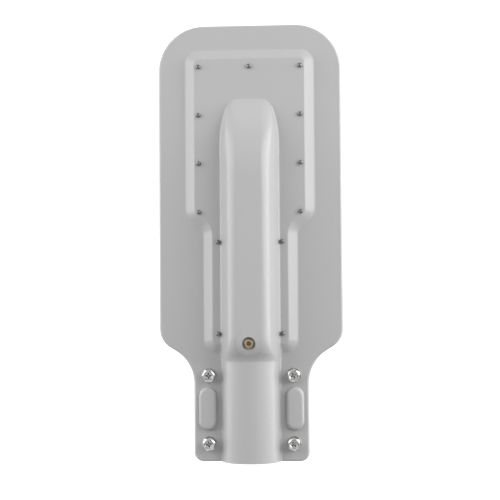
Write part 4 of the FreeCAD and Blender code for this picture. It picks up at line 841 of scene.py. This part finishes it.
@dataclass
class ClampSet:
    """Bolts, washers, nuts and straps that clamp the pole, in millimetres.

    Attributes:
        pip: Radius of the point amid the head's cross, and its height over the dish's floor.
        recess: Reach and half width of that cross, and its height over the dish's floor.
        dish_side: Radius beyond the dish's own, and height over its floor, up the side.
        brow: Radius beyond the dish's, and height over the head's top, round the rim.
        fall: How far the corners of head and nut fall off, for each millimetre outwards.
        foot: How much narrower the head is at its foot, and the height of that chamfer.
        plain_to: Length of the bolt's plain shank under the head.
        plain_share: Radius of that shank as a share of the bolt's.
        thread_from: Where the thread begins under the head.
        groove: Depth of the thread as a share of its pitch.
        chamfer: Length of the bolt's tapered end.
        tip_share: Radius of the tip as a share of the bolt's.
        lift: How far one end of a spring washer stands over the other.
        soft: Softening of a flat washer's rims, and of a spring washer's as a share of its height.
        nut_edge: From a nut's flat face to its side.
        lead_in: Chamfer at the mouths of a nut's hole.
        segments: Points round a bolt or nut, round a flat washer and round a spring washer.
    """

    x: float = 46.1
    rows: Pair = (19.1, 92.9)
    bolt_r: float = 4.0
    bore_gap: float = 0.3
    across: float = 13.0
    head_height: float = 5.3
    dish_r: float = 4.7
    dish_depth: float = 1.2
    pip: Pair = (0.7, -0.1)
    recess: tuple[Point, ...] = ((2.7, 0.5, -1.3), (3.1, 0.8, 0.0))
    dish_side: tuple[Pair, ...] = ((-0.7, 0.1), (-0.2, 0.5))
    brow: tuple[Pair, ...] = ((0.1, -0.15), (0.35, 0.0), (0.5, -0.05))
    fall: Pair = (0.6, 0.5)
    foot: Pair = (0.3, 0.2)
    bolt_length: float = 30.0
    plain_to: float = 7.0
    plain_share: float = 0.98
    thread_from: float = 7.2
    groove: float = 0.55
    chamfer: float = 0.9
    tip_share: float = 0.74
    pitch: float = 1.25
    plate_top: float = 2.4
    flat_r: float = 7.9
    flat_height: float = 1.6
    spring_r: float = 7.0
    spring_height: float = 2.0
    slit: float = 1.1
    lift: float = 0.22
    soft: Pair = (0.18, 0.25)
    nut_height: float = 6.5
    nut_edge: float = 0.3
    nut_gap: float = 0.05
    lead_in: float = 0.4
    segments: tuple[int, int, int] = (72, 64, 56)
    strap_bottom: float = -6.0
    strap_edge: float = 0.5
    bolt_turns: tuple[float, ...] = (12.0, 37.0, 2.0, 27.0)
    slit_turns: tuple[float, ...] = (50.0, 130.0, 210.0, 290.0)
    nut_turns: tuple[float, ...] = (0.0, 40.0, 20.0, 55.0)

    def places(self) -> list[Pair]:
        """Places of the four bolts."""
        return [(side * self.x, y) for y in self.rows for side in (-1, 1)]

    def bolt(self) -> Mesh:
        """Hexagon bolt with a dished, cross-recessed head and a rolled thread.

        Returns:
            The mesh.
        """
        seat = self.plate_top + self.flat_height + self.spring_height
        top = seat + self.head_height
        floor = top - self.dish_depth
        end = seat - self.bolt_length
        rim, rim_rise = self.brow[-1]
        shank = self.bolt_r * self.plain_share
        narrower, chamfer = self.foot
        rings = [circle(self.pip[0], floor + self.pip[1])]
        rings += [cross(reach, half, floor + rise) for reach, half, rise in self.recess]
        rings += [circle(self.dish_r + beyond, floor + rise) for beyond, rise in self.dish_side]
        rings += [circle(self.dish_r + beyond, top + rise) for beyond, rise in self.brow]
        rings += [bevelled_hexagon(self.across, top + rim_rise, self.dish_r + rim, self.fall[0]),
                  hexagon(self.across, seat + chamfer), hexagon(self.across - narrower, seat),
                  circle(shank, seat), circle(shank, seat - self.plain_to)]
        rings += thread(self.bolt_r, self.pitch, self.pitch * self.groove, seat - self.thread_from,
                        end + self.chamfer)
        rings.append(circle(self.bolt_r * self.tip_share, end))
        return stack("clamp_bolt_form", rings, self.segments[0])

    def ring(self, name: str, base: float) -> Mesh:
        """Flat washer with softened rims.

        Args:
            name: The mesh's name.
            base: Height of its lower face.

        Returns:
            The mesh.
        """
        section = soft_section(self.bolt_r + self.bore_gap, self.flat_r, self.flat_height, self.soft[0])
        rings = [circle(radius, base + rise) for radius, rise in section]
        return stack(name, rings, self.segments[1], hollow=True)

    def spring(self) -> Mesh:
        """Split spring washer, its ends set a little apart in height.

        Returns:
            The mesh.
        """
        base = self.plate_top + self.flat_height
        gap = self.slit / self.spring_r
        steps = self.segments[2]
        section = soft_section(self.bolt_r + self.bore_gap, self.spring_r, 1.0, self.soft[1])
        points: list[Point] = []
        for step in range(steps + 1):
            share = step / steps
            angle = gap / 2 + (2 * math.pi - gap) * share
            for radius, rise in section:
                height = base + self.lift * share + rise * (self.spring_height - self.lift)
                points.append(polar(radius, angle, height))
        size = len(section)
        ends = [tuple(range(start, start + size)) for start in (0, steps * size)]
        return finish_mesh("spring_washer_form", points, bands(steps + 1, size) + ends)

    def nut(self) -> Mesh:
        """Hexagon nut, bevelled on both faces.

        Returns:
            The mesh.
        """
        top = self.strap_bottom - self.flat_height
        base = top - self.nut_height
        flat = self.across / 2 - self.nut_edge
        fall = self.fall[1]
        bore = self.bolt_r + self.nut_gap
        mouth = bore + self.lead_in
        rings = [circle(mouth, base), circle(flat, base), bevelled_hexagon(self.across, base, flat, -fall),
                 bevelled_hexagon(self.across, top, flat, fall), circle(flat, top), circle(mouth, top),
                 circle(bore, top - self.lead_in), circle(bore, base + self.lead_in)]
        return stack("clamp_nut_form", rings, self.segments[0], hollow=True)

    def build(self, shop: Workshop) -> None:
        """Set out every piece of the clamp.

        Args:
            shop: Builds, places and finishes the pieces.
        """
        places = self.places()
        low = self.strap_bottom - self.flat_height
        shop.set_out("clamp_bolts", self.bolt(), places, self.bolt_turns, spread=0.0)
        shop.set_out("clamp_flat_washers", self.ring("flat_washer_form", self.plate_top), places)
        shop.set_out("clamp_spring_washers", self.spring(), places, self.slit_turns, spread=0.0)
        shop.set_out("clamp_nut_washers", self.ring("nut_washer_form", low), places)
        shop.set_out("clamp_nuts", self.nut(), places, self.nut_turns, spread=0.0)
        for node in ("clamp_strap_mouth", "clamp_strap_inner"):
            shop.smooth_copy(node, self.strap_edge)


@dataclass
class EarthPoint:
    """Brass earth screw with its washer and nut, in millimetres.

    Attributes:
        socket_foot: Width beyond the socket's own, and height over its floor.
        socket_mouth: Width beyond the socket's own, and height over the head's top.
        rim: How far inside and below the head's edge its rounding runs.
        knurl_ends: Where the knurled side ends below the top and over the seat.
        foot: How much the head narrows at its seat.
        thread_from: Where the thread begins under the head.
        chamfer: Length of the tapered end.
        tip_share: Radius of the tip as a share of the shank's.
    """

    y: float = 128.2
    seat: float = 38.2
    head_r: float = 4.8
    head_height: float = 4.0
    socket_across: float = 4.0
    socket_depth: float = 2.4
    socket_turn: float = 15.0
    socket_foot: tuple[Pair, ...] = ((-0.8, 0.0), (0.0, 0.3))
    socket_mouth: tuple[Pair, ...] = ((0.0, -0.25), (0.4, 0.0))
    rim: tuple[Pair, ...] = ((0.7, 0.0), (0.28, 0.18))
    knurl_ends: Pair = (0.6, 0.3)
    foot: float = 0.25
    shank_r: float = 2.5
    length: float = 14.6
    pitch: float = 0.8
    knurls: int = 30
    knurl_depth: float = 0.14
    thread_from: float = 0.3
    chamfer: float = 0.5
    tip_share: float = 0.7
    segments: int = 180
    nut_edge: float = 0.15

    def knurl(self, height: float) -> Ring:
        """Ring of the knurled side at a height."""
        return lambda angle: (
            self.head_r - self.knurl_depth * (1 + math.cos(angle * self.knurls)) / 2, height)

    def form(self) -> Mesh:
        """Socket head screw with a knurled side and a rolled thread.

        Returns:
            The mesh.
        """
        top = self.seat + self.head_height
        tip = self.seat - self.length
        floor = top - self.socket_depth
        rings = [hexagon(self.socket_across + wider, base + rise, self.socket_turn)
                 for base, steps in ((floor, self.socket_foot), (top, self.socket_mouth))
                 for wider, rise in steps]
        rings += [circle(self.head_r - inside, top - below) for inside, below in self.rim]
        rings += [self.knurl(top - self.knurl_ends[0]), self.knurl(self.seat + self.knurl_ends[1]),
                  circle(self.head_r - self.foot, self.seat), circle(self.shank_r, self.seat)]
        rings += thread(self.shank_r, self.pitch, self.pitch * GROOVE, self.seat - self.thread_from,
                        tip + self.chamfer)
        rings.append(circle(self.shank_r * self.tip_share, tip))
        return stack("earth_screw_form", rings, self.segments)

    def build(self, shop: Workshop) -> None:
        """Place the screw and round the edges of its washer and nut.

        Args:
            shop: Builds, places and finishes the pieces.
        """
        shop.set_out("earth_screw", self.form(), [(0.0, self.y)], spread=0.0)
        for node in ("earth_washer", "earth_nut"):
            shop.smooth_copy(node, self.nut_edge)


@dataclass
class Shell:
    """Painted shell, its carrier plate and the screws whose ends stand out of it, in millimetres."""

    screw_x: float = 55.5
    far_y: float = 429.4
    pitch_y: float = 53.0
    rows: int = 4
    neck_x: float = 34.8
    neck_rows: Pair = (237.7, 138.0)
    screw: PanScrew = PanScrew(CARRIER_SCREW, seat=4.0, length=9.6, facing=Facing.DOWN)
    plate_edge: float = 0.4
    housing_sharp_degrees: float = 33.0

    def screw_places(self) -> list[Pair]:
        """Places of the thirteen carrier screws.

        Returns:
            X and Y of each.
        """
        places = [(0.0, self.far_y)]
        for side in (-1, 1):
            places += [(side * self.screw_x, self.far_y - row * self.pitch_y) for row in range(self.rows)]
            places += [(side * self.neck_x, y) for y in self.neck_rows]
        return places

    def build(self, shop: Workshop) -> None:
        """Dress the shell, the plate and its screws.

        Args:
            shop: Builds, places and finishes the pieces.
        """
        shop.smooth_copy("housing", sharp_degrees=self.housing_sharp_degrees)
        shop.smooth_copy("carrier_plate", self.plate_edge)
        shop.paint("carrier_gasket")
        shop.set_out("carrier_screws", self.screw.form("carrier_screw_form"), self.screw_places())


@dataclass
class LampStack:
    """Board, lamps and moulded lens plate, in millimetres.

    Attributes:
        cavity: Height of the sheet's upper face inside its rim.
        dome_r: Radius of one round lobe of a lens.
        dome_spread: Half the distance between the middles of its two lobes.
        dome_drop: How far the lobes hang below the sheet.
        head_depth: Depth of a countersunk screw hole.
        over: How far a hole's cutter stands out of the sheet.
        cell: Size of one face of the sheet.
    """

    half_width: float = 38.0
    near_y: float = 275.0
    far_y: float = 414.0
    margin: float = 9.0
    corner_r: float = 8.0
    top: float = 3.0
    cavity: float = 1.1
    bottom: float = -1.4
    cavity_margin: float = 0.8
    pitch: Pair = (19.0, 19.5)
    columns: int = 4
    rows: int = 7
    dome_r: float = 5.3
    dome_spread: float = 2.1
    dome_drop: float = 3.5
    screw_inset: float = 4.2
    screws_per_side: int = 4
    screw_length: float = 6.1
    head_hole_r: float = 3.1
    shank_hole_r: float = 1.8
    head_depth: float = 1.8
    over: float = 1.0
    hole_segments: int = 32
    cell: float = 0.75
    sharp_degrees: float = 40.0

    def screw_places(self) -> list[Pair]:
        """Places of the lens screws.

        Returns:
            X and Y of each.
        """
        x = self.half_width + self.margin - self.screw_inset
        start = self.near_y - self.margin + self.screw_inset + self.corner_r / 2
        end = self.far_y + self.margin - self.screw_inset - self.corner_r / 2
        places: list[Pair] = []
        for step in range(self.screws_per_side):
            y = start + (end - start) * step / (self.screws_per_side - 1)
            places += [(-x, y), (x, y)]
        return places

    def dome_depth(self, x: float, y: float) -> float:
        """How far the lenses hang below the sheet at a point.

        Args:
            x: Place across the head.
            y: Place along the head.

        Returns:
            Depth in millimetres, zero between lenses.
        """
        middle = (self.near_y + self.far_y) / 2
        across = x / self.pitch[0] + (self.columns - 1) / 2
        along = (y - middle) / self.pitch[1] + (self.rows - 1) / 2
        column = min(max(round(across), 0), self.columns - 1)
        row = min(max(round(along), 0), self.rows - 1)
        dx = abs((across - column) * self.pitch[0])
        dy = (along - row) * self.pitch[1]
        sphere = (self.dome_r ** 2 + self.dome_drop ** 2) / (2 * self.dome_drop)
        reach = math.hypot(dx - self.dome_spread, dy)
        if reach >= self.dome_r:
            return 0.0
        return math.sqrt(sphere ** 2 - reach ** 2) - (sphere - self.dome_drop)

    def outline(self, x: float, y: float) -> Pair:
        """Pull a point that lies outside the rounded corners back onto the outline.

        Args:
            x: Place across the head.
            y: Place along the head.

        Returns:
            The same point, or the nearest one on the corner's arc.
        """
        core_x = self.half_width + self.margin - self.corner_r
        low = self.near_y - self.margin + self.corner_r
        high = self.far_y + self.margin - self.corner_r
        dx = abs(x) - core_x
        dy = max(low - y, y - high)
        far = math.hypot(dx, dy)
        if dx <= 0 or dy <= 0 or far <= self.corner_r:
            return x, y
        share = self.corner_r / far
        along = low - dy * share if y < low else high + dy * share
        return math.copysign(core_x + dx * share, x), along

    def lens_mesh(self) -> Mesh:
        """Moulded sheet: lenses below, a shallow cavity above and a rim between them.

        Returns:
            The mesh.
        """
        half = self.half_width + self.margin
        long = self.far_y - self.near_y + 2 * self.margin
        low_y = self.near_y - self.margin
        across = int(2 * half / self.cell)
        along = int(long / self.cell)
        edge = self.cavity_margin
        points: list[Point] = []
        for upper in (False, True):
            for row in range(along + 1):
                for column in range(across + 1):
                    x, y = self.outline(-half + 2 * half * column / across, low_y + long * row / along)
                    inside = abs(x) < self.half_width + edge and self.near_y - edge < y < self.far_y + edge
                    height = self.cavity if inside else self.top
                    if not upper:
                        height = self.bottom - self.dome_depth(x, y)
                    points.append((x * MM, y * MM, height * MM))
        width = across + 1
        layer = width * (along + 1)
        faces: list[Face] = []
        for row in range(along):
            for column in range(across):
                low = row * width + column
                high = layer + low
                faces.append((low, low + width, low + width + 1, low + 1))
                faces.append((high, high + 1, high + width + 1, high + width))
        rim = list(range(across))
        rim += [row * width + across for row in range(along)]
        rim += [along * width + column for column in range(across, 0, -1)]
        rim += [row * width for row in range(along, 0, -1)]
        for index, here in enumerate(rim):
            after = rim[(index + 1) % len(rim)]
            faces.append((here, after, layer + after, layer + here))
        return finish_mesh("lens_sheet", points, faces, self.sharp_degrees)

    def build(self, shop: Workshop) -> None:
        """Build the lens plate and its screws, and finish the board.

        Args:
            shop: Builds, places and finishes the pieces.
        """
        sheet = add_object("lens_sheet_source", self.lens_mesh())
        seat = self.bottom + self.head_depth
        rings = [circle(self.head_hole_r, self.bottom - self.over), circle(self.head_hole_r, seat),
                 circle(self.shank_hole_r, seat), circle(self.shank_hole_r, self.top + self.over)]
        cutters = bpy.data.collections.new("lens_cutters")
        for x, y in self.screw_places():
            cutter = bpy.data.objects.new("lens_cutter", stack("lens_cutter", rings, self.hole_segments))
            cutter.location = (x * MM, y * MM, 0.0)
            cutters.objects.link(cutter)
        bpy.context.scene.collection.children.link(cutters)
        holes = sheet.modifiers.new("holes", "BOOLEAN")
        holes.operand_type = "COLLECTION"
        holes.collection = cutters
        holes.solver = "EXACT"
        piece = settle(sheet, "lens_plate_sheet")
        for cutter in list(cutters.objects):
            bpy.data.objects.remove(cutter)
        bpy.data.collections.remove(cutters)
        shop.adopt(piece, "lens_plate")
        screw = PanScrew(SMALL_SCREW, seat, self.screw_length, Facing.DOWN)
        shop.set_out("lens_screws", screw.form("lens_screw_form"), self.screw_places())
        for node in ("thermal_sheet", "led_board", "led_emitters", "lens_gasket"):
            shop.paint(node)


# Each screw group of the driver bay: its node, the screw and the places of the group in millimetres.
BAY_SCREWS: tuple[tuple[str, PanScrew, tuple[Pair, ...]], ...] = (
    ("driver_screws", PanScrew(DRIVER_SCREW, seat=8.5, length=4.5), ((0.0, 218.5), (0.0, 347.5))),
    ("surge_screws", PanScrew(SMALL_SCREW, seat=8.5, length=4.5), ((-12.25, 201.0), (12.25, 201.0))),
    ("terminal_fixing_screws", PanScrew(SMALL_SCREW, seat=20.2, length=16.2),
     ((-8.75, 161.0), (8.75, 161.0))),
    ("lug_screw", PanScrew(LUG_SCREW, seat=8.0, length=4.0), ((0.0, 182.0),)),
)


@dataclass
class DriverBay:
    """Driver, surge protector, terminals, leads and gland, with the rounding of each edge in millimetres."""

    edges: tuple[tuple[str, float], ...] = (
        ("driver_case", 0.6), ("surge_protector", 0.3), ("terminal_block", 0.3), ("gland_body", 0.3),
        ("gland_cap", 0.5), ("gland_locknut", 0.4), ("terminal_clamp_screws", 0.1), ("board_grommet", 0.3),
        ("earth_lug", 0.0), ("gland_seal", 0.0), ("lead_live", 0.0), ("lead_neutral", 0.0),
        ("lead_surge_live", 0.0), ("lead_surge_neutral", 0.0), ("lead_earth", 0.0),
        ("lead_led_positive", 0.0), ("lead_led_negative", 0.0))

    def build(self, shop: Workshop) -> None:
        """Dress everything between the bulkhead and the nose.

        Args:
            shop: Builds, places and finishes the pieces.
        """
        for node, screw, places in BAY_SCREWS:
            shop.set_out(node, screw.form(node + "_form"), places)
        for node, edge in self.edges:
            shop.smooth_copy(node, edge)


@dataclass(frozen=True)
class SoftBox:
    """Large soft lamp: where its middle hangs and its length and height in metres, and its watts."""

    name: str
    place: Point
    size: Pair
    power: float


SOFT_BOXES = (
    SoftBox("left_soft_box", (-1.15, 0.60, 0.50), (2.8, 1.1), 25.8),
    SoftBox("right_soft_box", (1.15, 0.60, 0.50), (2.8, 1.1), 34.5),
    SoftBox("near_soft_box", (0.0, -0.90, 0.45), (1.6, 0.7), 1.5),
    SoftBox("far_soft_box", (0.0, 1.50, 0.50), (1.2, 0.8), 2.2),
)


def seen_by(tree: NodeTree, rays: Sequence[str]) -> Source:
    """Find out what looks at a surface.

    Args:
        tree: The shader tree.
        rays: Kinds of ray that count beside the camera's own.

    Returns:
        What gives one for those rays and zero for all others.
    """
    path = add_node(tree, "ShaderNodeLightPath")
    result = path.outputs["Is Camera Ray"]
    for ray in rays:
        result = add_node(tree, "ShaderNodeMath", {0: result, 1: path.outputs[ray]}, operation="MAXIMUM")
    return result


@dataclass
class Studio:
    """Camera, lights, floor and white surroundings.

    Attributes:
        lens_mm: Focal length on a 36 mm sensor.
        distance_mm: From the camera to the point it is aimed about.
        aim_mm: That point.
        turns: Turns of the head against the camera about Z, Y and X in degrees.
        lamp_aim: Place along the head that the soft boxes face, in metres.
        floor_mm: Height of the floor.
        floor_half: Half the floor's width, in metres.
        floor_glow: Light that the floor adds of its own, for the camera and for reflections.
        fibre_mm: Size of the paper's faint clouds.
        room_light: Strength of the even light on the head.
    """

    lens_mm: float = 96.29
    distance_mm: float = 1458.36
    aim_mm: Point = (-0.523, 229.089, 2.4)
    turns: Point = (0.5818, -3.6814, -2.4668)
    lamp_aim: float = 0.24
    floor_mm: float = -420.0
    floor_half: float = 6.0
    floor_glow: float = 0.35
    fibre_mm: float = 4.0
    room_light: float = 0.30

    def camera(self) -> None:
        """Camera straight above the head, as in the photograph."""
        turn = Matrix.Identity(3)
        for degrees, axis in zip(self.turns, "ZYX"):
            turn = turn @ Matrix.Rotation(math.radians(degrees), 3, axis)
        place = turn.transposed() @ Vector((0.0, 0.0, self.distance_mm)) + Vector(self.aim_mm)
        data = bpy.data.cameras.new("camera")
        data.lens = self.lens_mm
        data.sensor_width = 36.0
        data.clip_end = 100.0
        camera = add_object("camera", data)
        camera.matrix_world = Matrix.Translation(place * MM) @ turn.transposed().to_4x4()
        bpy.context.scene.camera = camera

    def lamp(self, box: SoftBox) -> None:
        """Hang one soft box so that it faces the head from its side.

        Args:
            box: The soft box.
        """
        data = bpy.data.lights.new(box.name, "AREA")
        data.shape = "RECTANGLE"
        data.size, data.size_y = box.size
        data.energy = box.power
        light = add_object(box.name, data)
        light.location = box.place
        aim = Vector((0.0, self.lamp_aim, box.place[2])) - Vector(box.place)
        light.rotation_mode = "QUATERNION"
        light.rotation_quaternion = aim.to_track_quat("-Z", "Z")

    def floor(self) -> None:
        """White floor that keeps the shadow and is see-through from below."""
        half, height = self.floor_half, self.floor_mm * MM
        corners = [(-half, -half, height), (half, -half, height), (half, half, height), (-half, half, height)]
        mesh = finish_mesh("floor", corners, [(0, 1, 2, 3)])
        if mesh.polygons[0].normal.z < 0:
            mesh.flip_normals()
        floor = add_object("floor", mesh)
        material = bpy.data.materials.new("white_paper_floor")
        material.use_nodes = True
        tree = material.node_tree
        tree.nodes.clear()
        place = add_node(tree, "ShaderNodeTexCoord").outputs["Object"]
        grain = add_node(tree, "ShaderNodeTexNoise", {"Scale": 1 / (self.fibre_mm * MM), "Vector": place})
        tint = add_node(tree, "ShaderNodeMix", {"Factor": grain, 6: linear("F4F4F4"), 7: linear("F1F1F1")},
                        data_type="RGBA")
        paper = add_node(tree, "ShaderNodeBsdfDiffuse", {"Color": tint})
        glow = add_node(tree, "ShaderNodeEmission", {"Strength": self.floor_glow})
        lit = add_node(tree, "ShaderNodeAddShader", {0: paper, 1: glow})
        shown = add_node(tree, "ShaderNodeMixShader", {0: seen_by(tree, ["Is Glossy Ray"]), 1: paper, 2: lit})
        back = add_node(tree, "ShaderNodeNewGeometry")
        clear = add_node(tree, "ShaderNodeBsdfTransparent")
        result = add_node(tree, "ShaderNodeMixShader", {0: back.outputs["Backfacing"], 1: shown, 2: clear})
        add_node(tree, "ShaderNodeOutputMaterial", {"Surface": result})
        mesh.materials.append(material)

    def world(self) -> None:
        """Even soft light, white where the camera, a reflection or a clear piece sees it."""
        world = bpy.data.worlds.new("white_room")
        bpy.context.scene.world = world
        world.use_nodes = True
        tree = world.node_tree
        tree.nodes.clear()
        soft, white = [
            add_node(tree, "ShaderNodeBackground", {"Color": linear("FFFFFF"), "Strength": strength})
            for strength in (self.room_light, 1.0)]
        mixed = add_node(tree, "ShaderNodeMixShader", {
            0: seen_by(tree, ["Is Transmission Ray", "Is Glossy Ray"]), 1: soft, 2: white})
        add_node(tree, "ShaderNodeOutputWorld", {"Surface": mixed})

    def build(self) -> None:
        """Set up the whole studio."""
        self.camera()
        for box in SOFT_BOXES:
            self.lamp(box)
        self.floor()
        self.world()
        bpy.context.scene.view_settings.view_transform = "Standard"
        LOG.info("studio ready")


def main() -> None:
    """Build every piece in order."""
    logging.basicConfig(level=logging.INFO, format="%(name)s: %(message)s")
    slots = {entry["node"]: Slot(entry["material_slot"]) for entry in frame["record"]["subparts"]}
    shop = Workshop(frame["nodes"], slots, {})
    Studio().build()
    for part in (Shell(), ClampSet(), EarthPoint(), LampStack(), DriverBay()):
        part.build(shop)


if __name__ == "__main__":
    main()
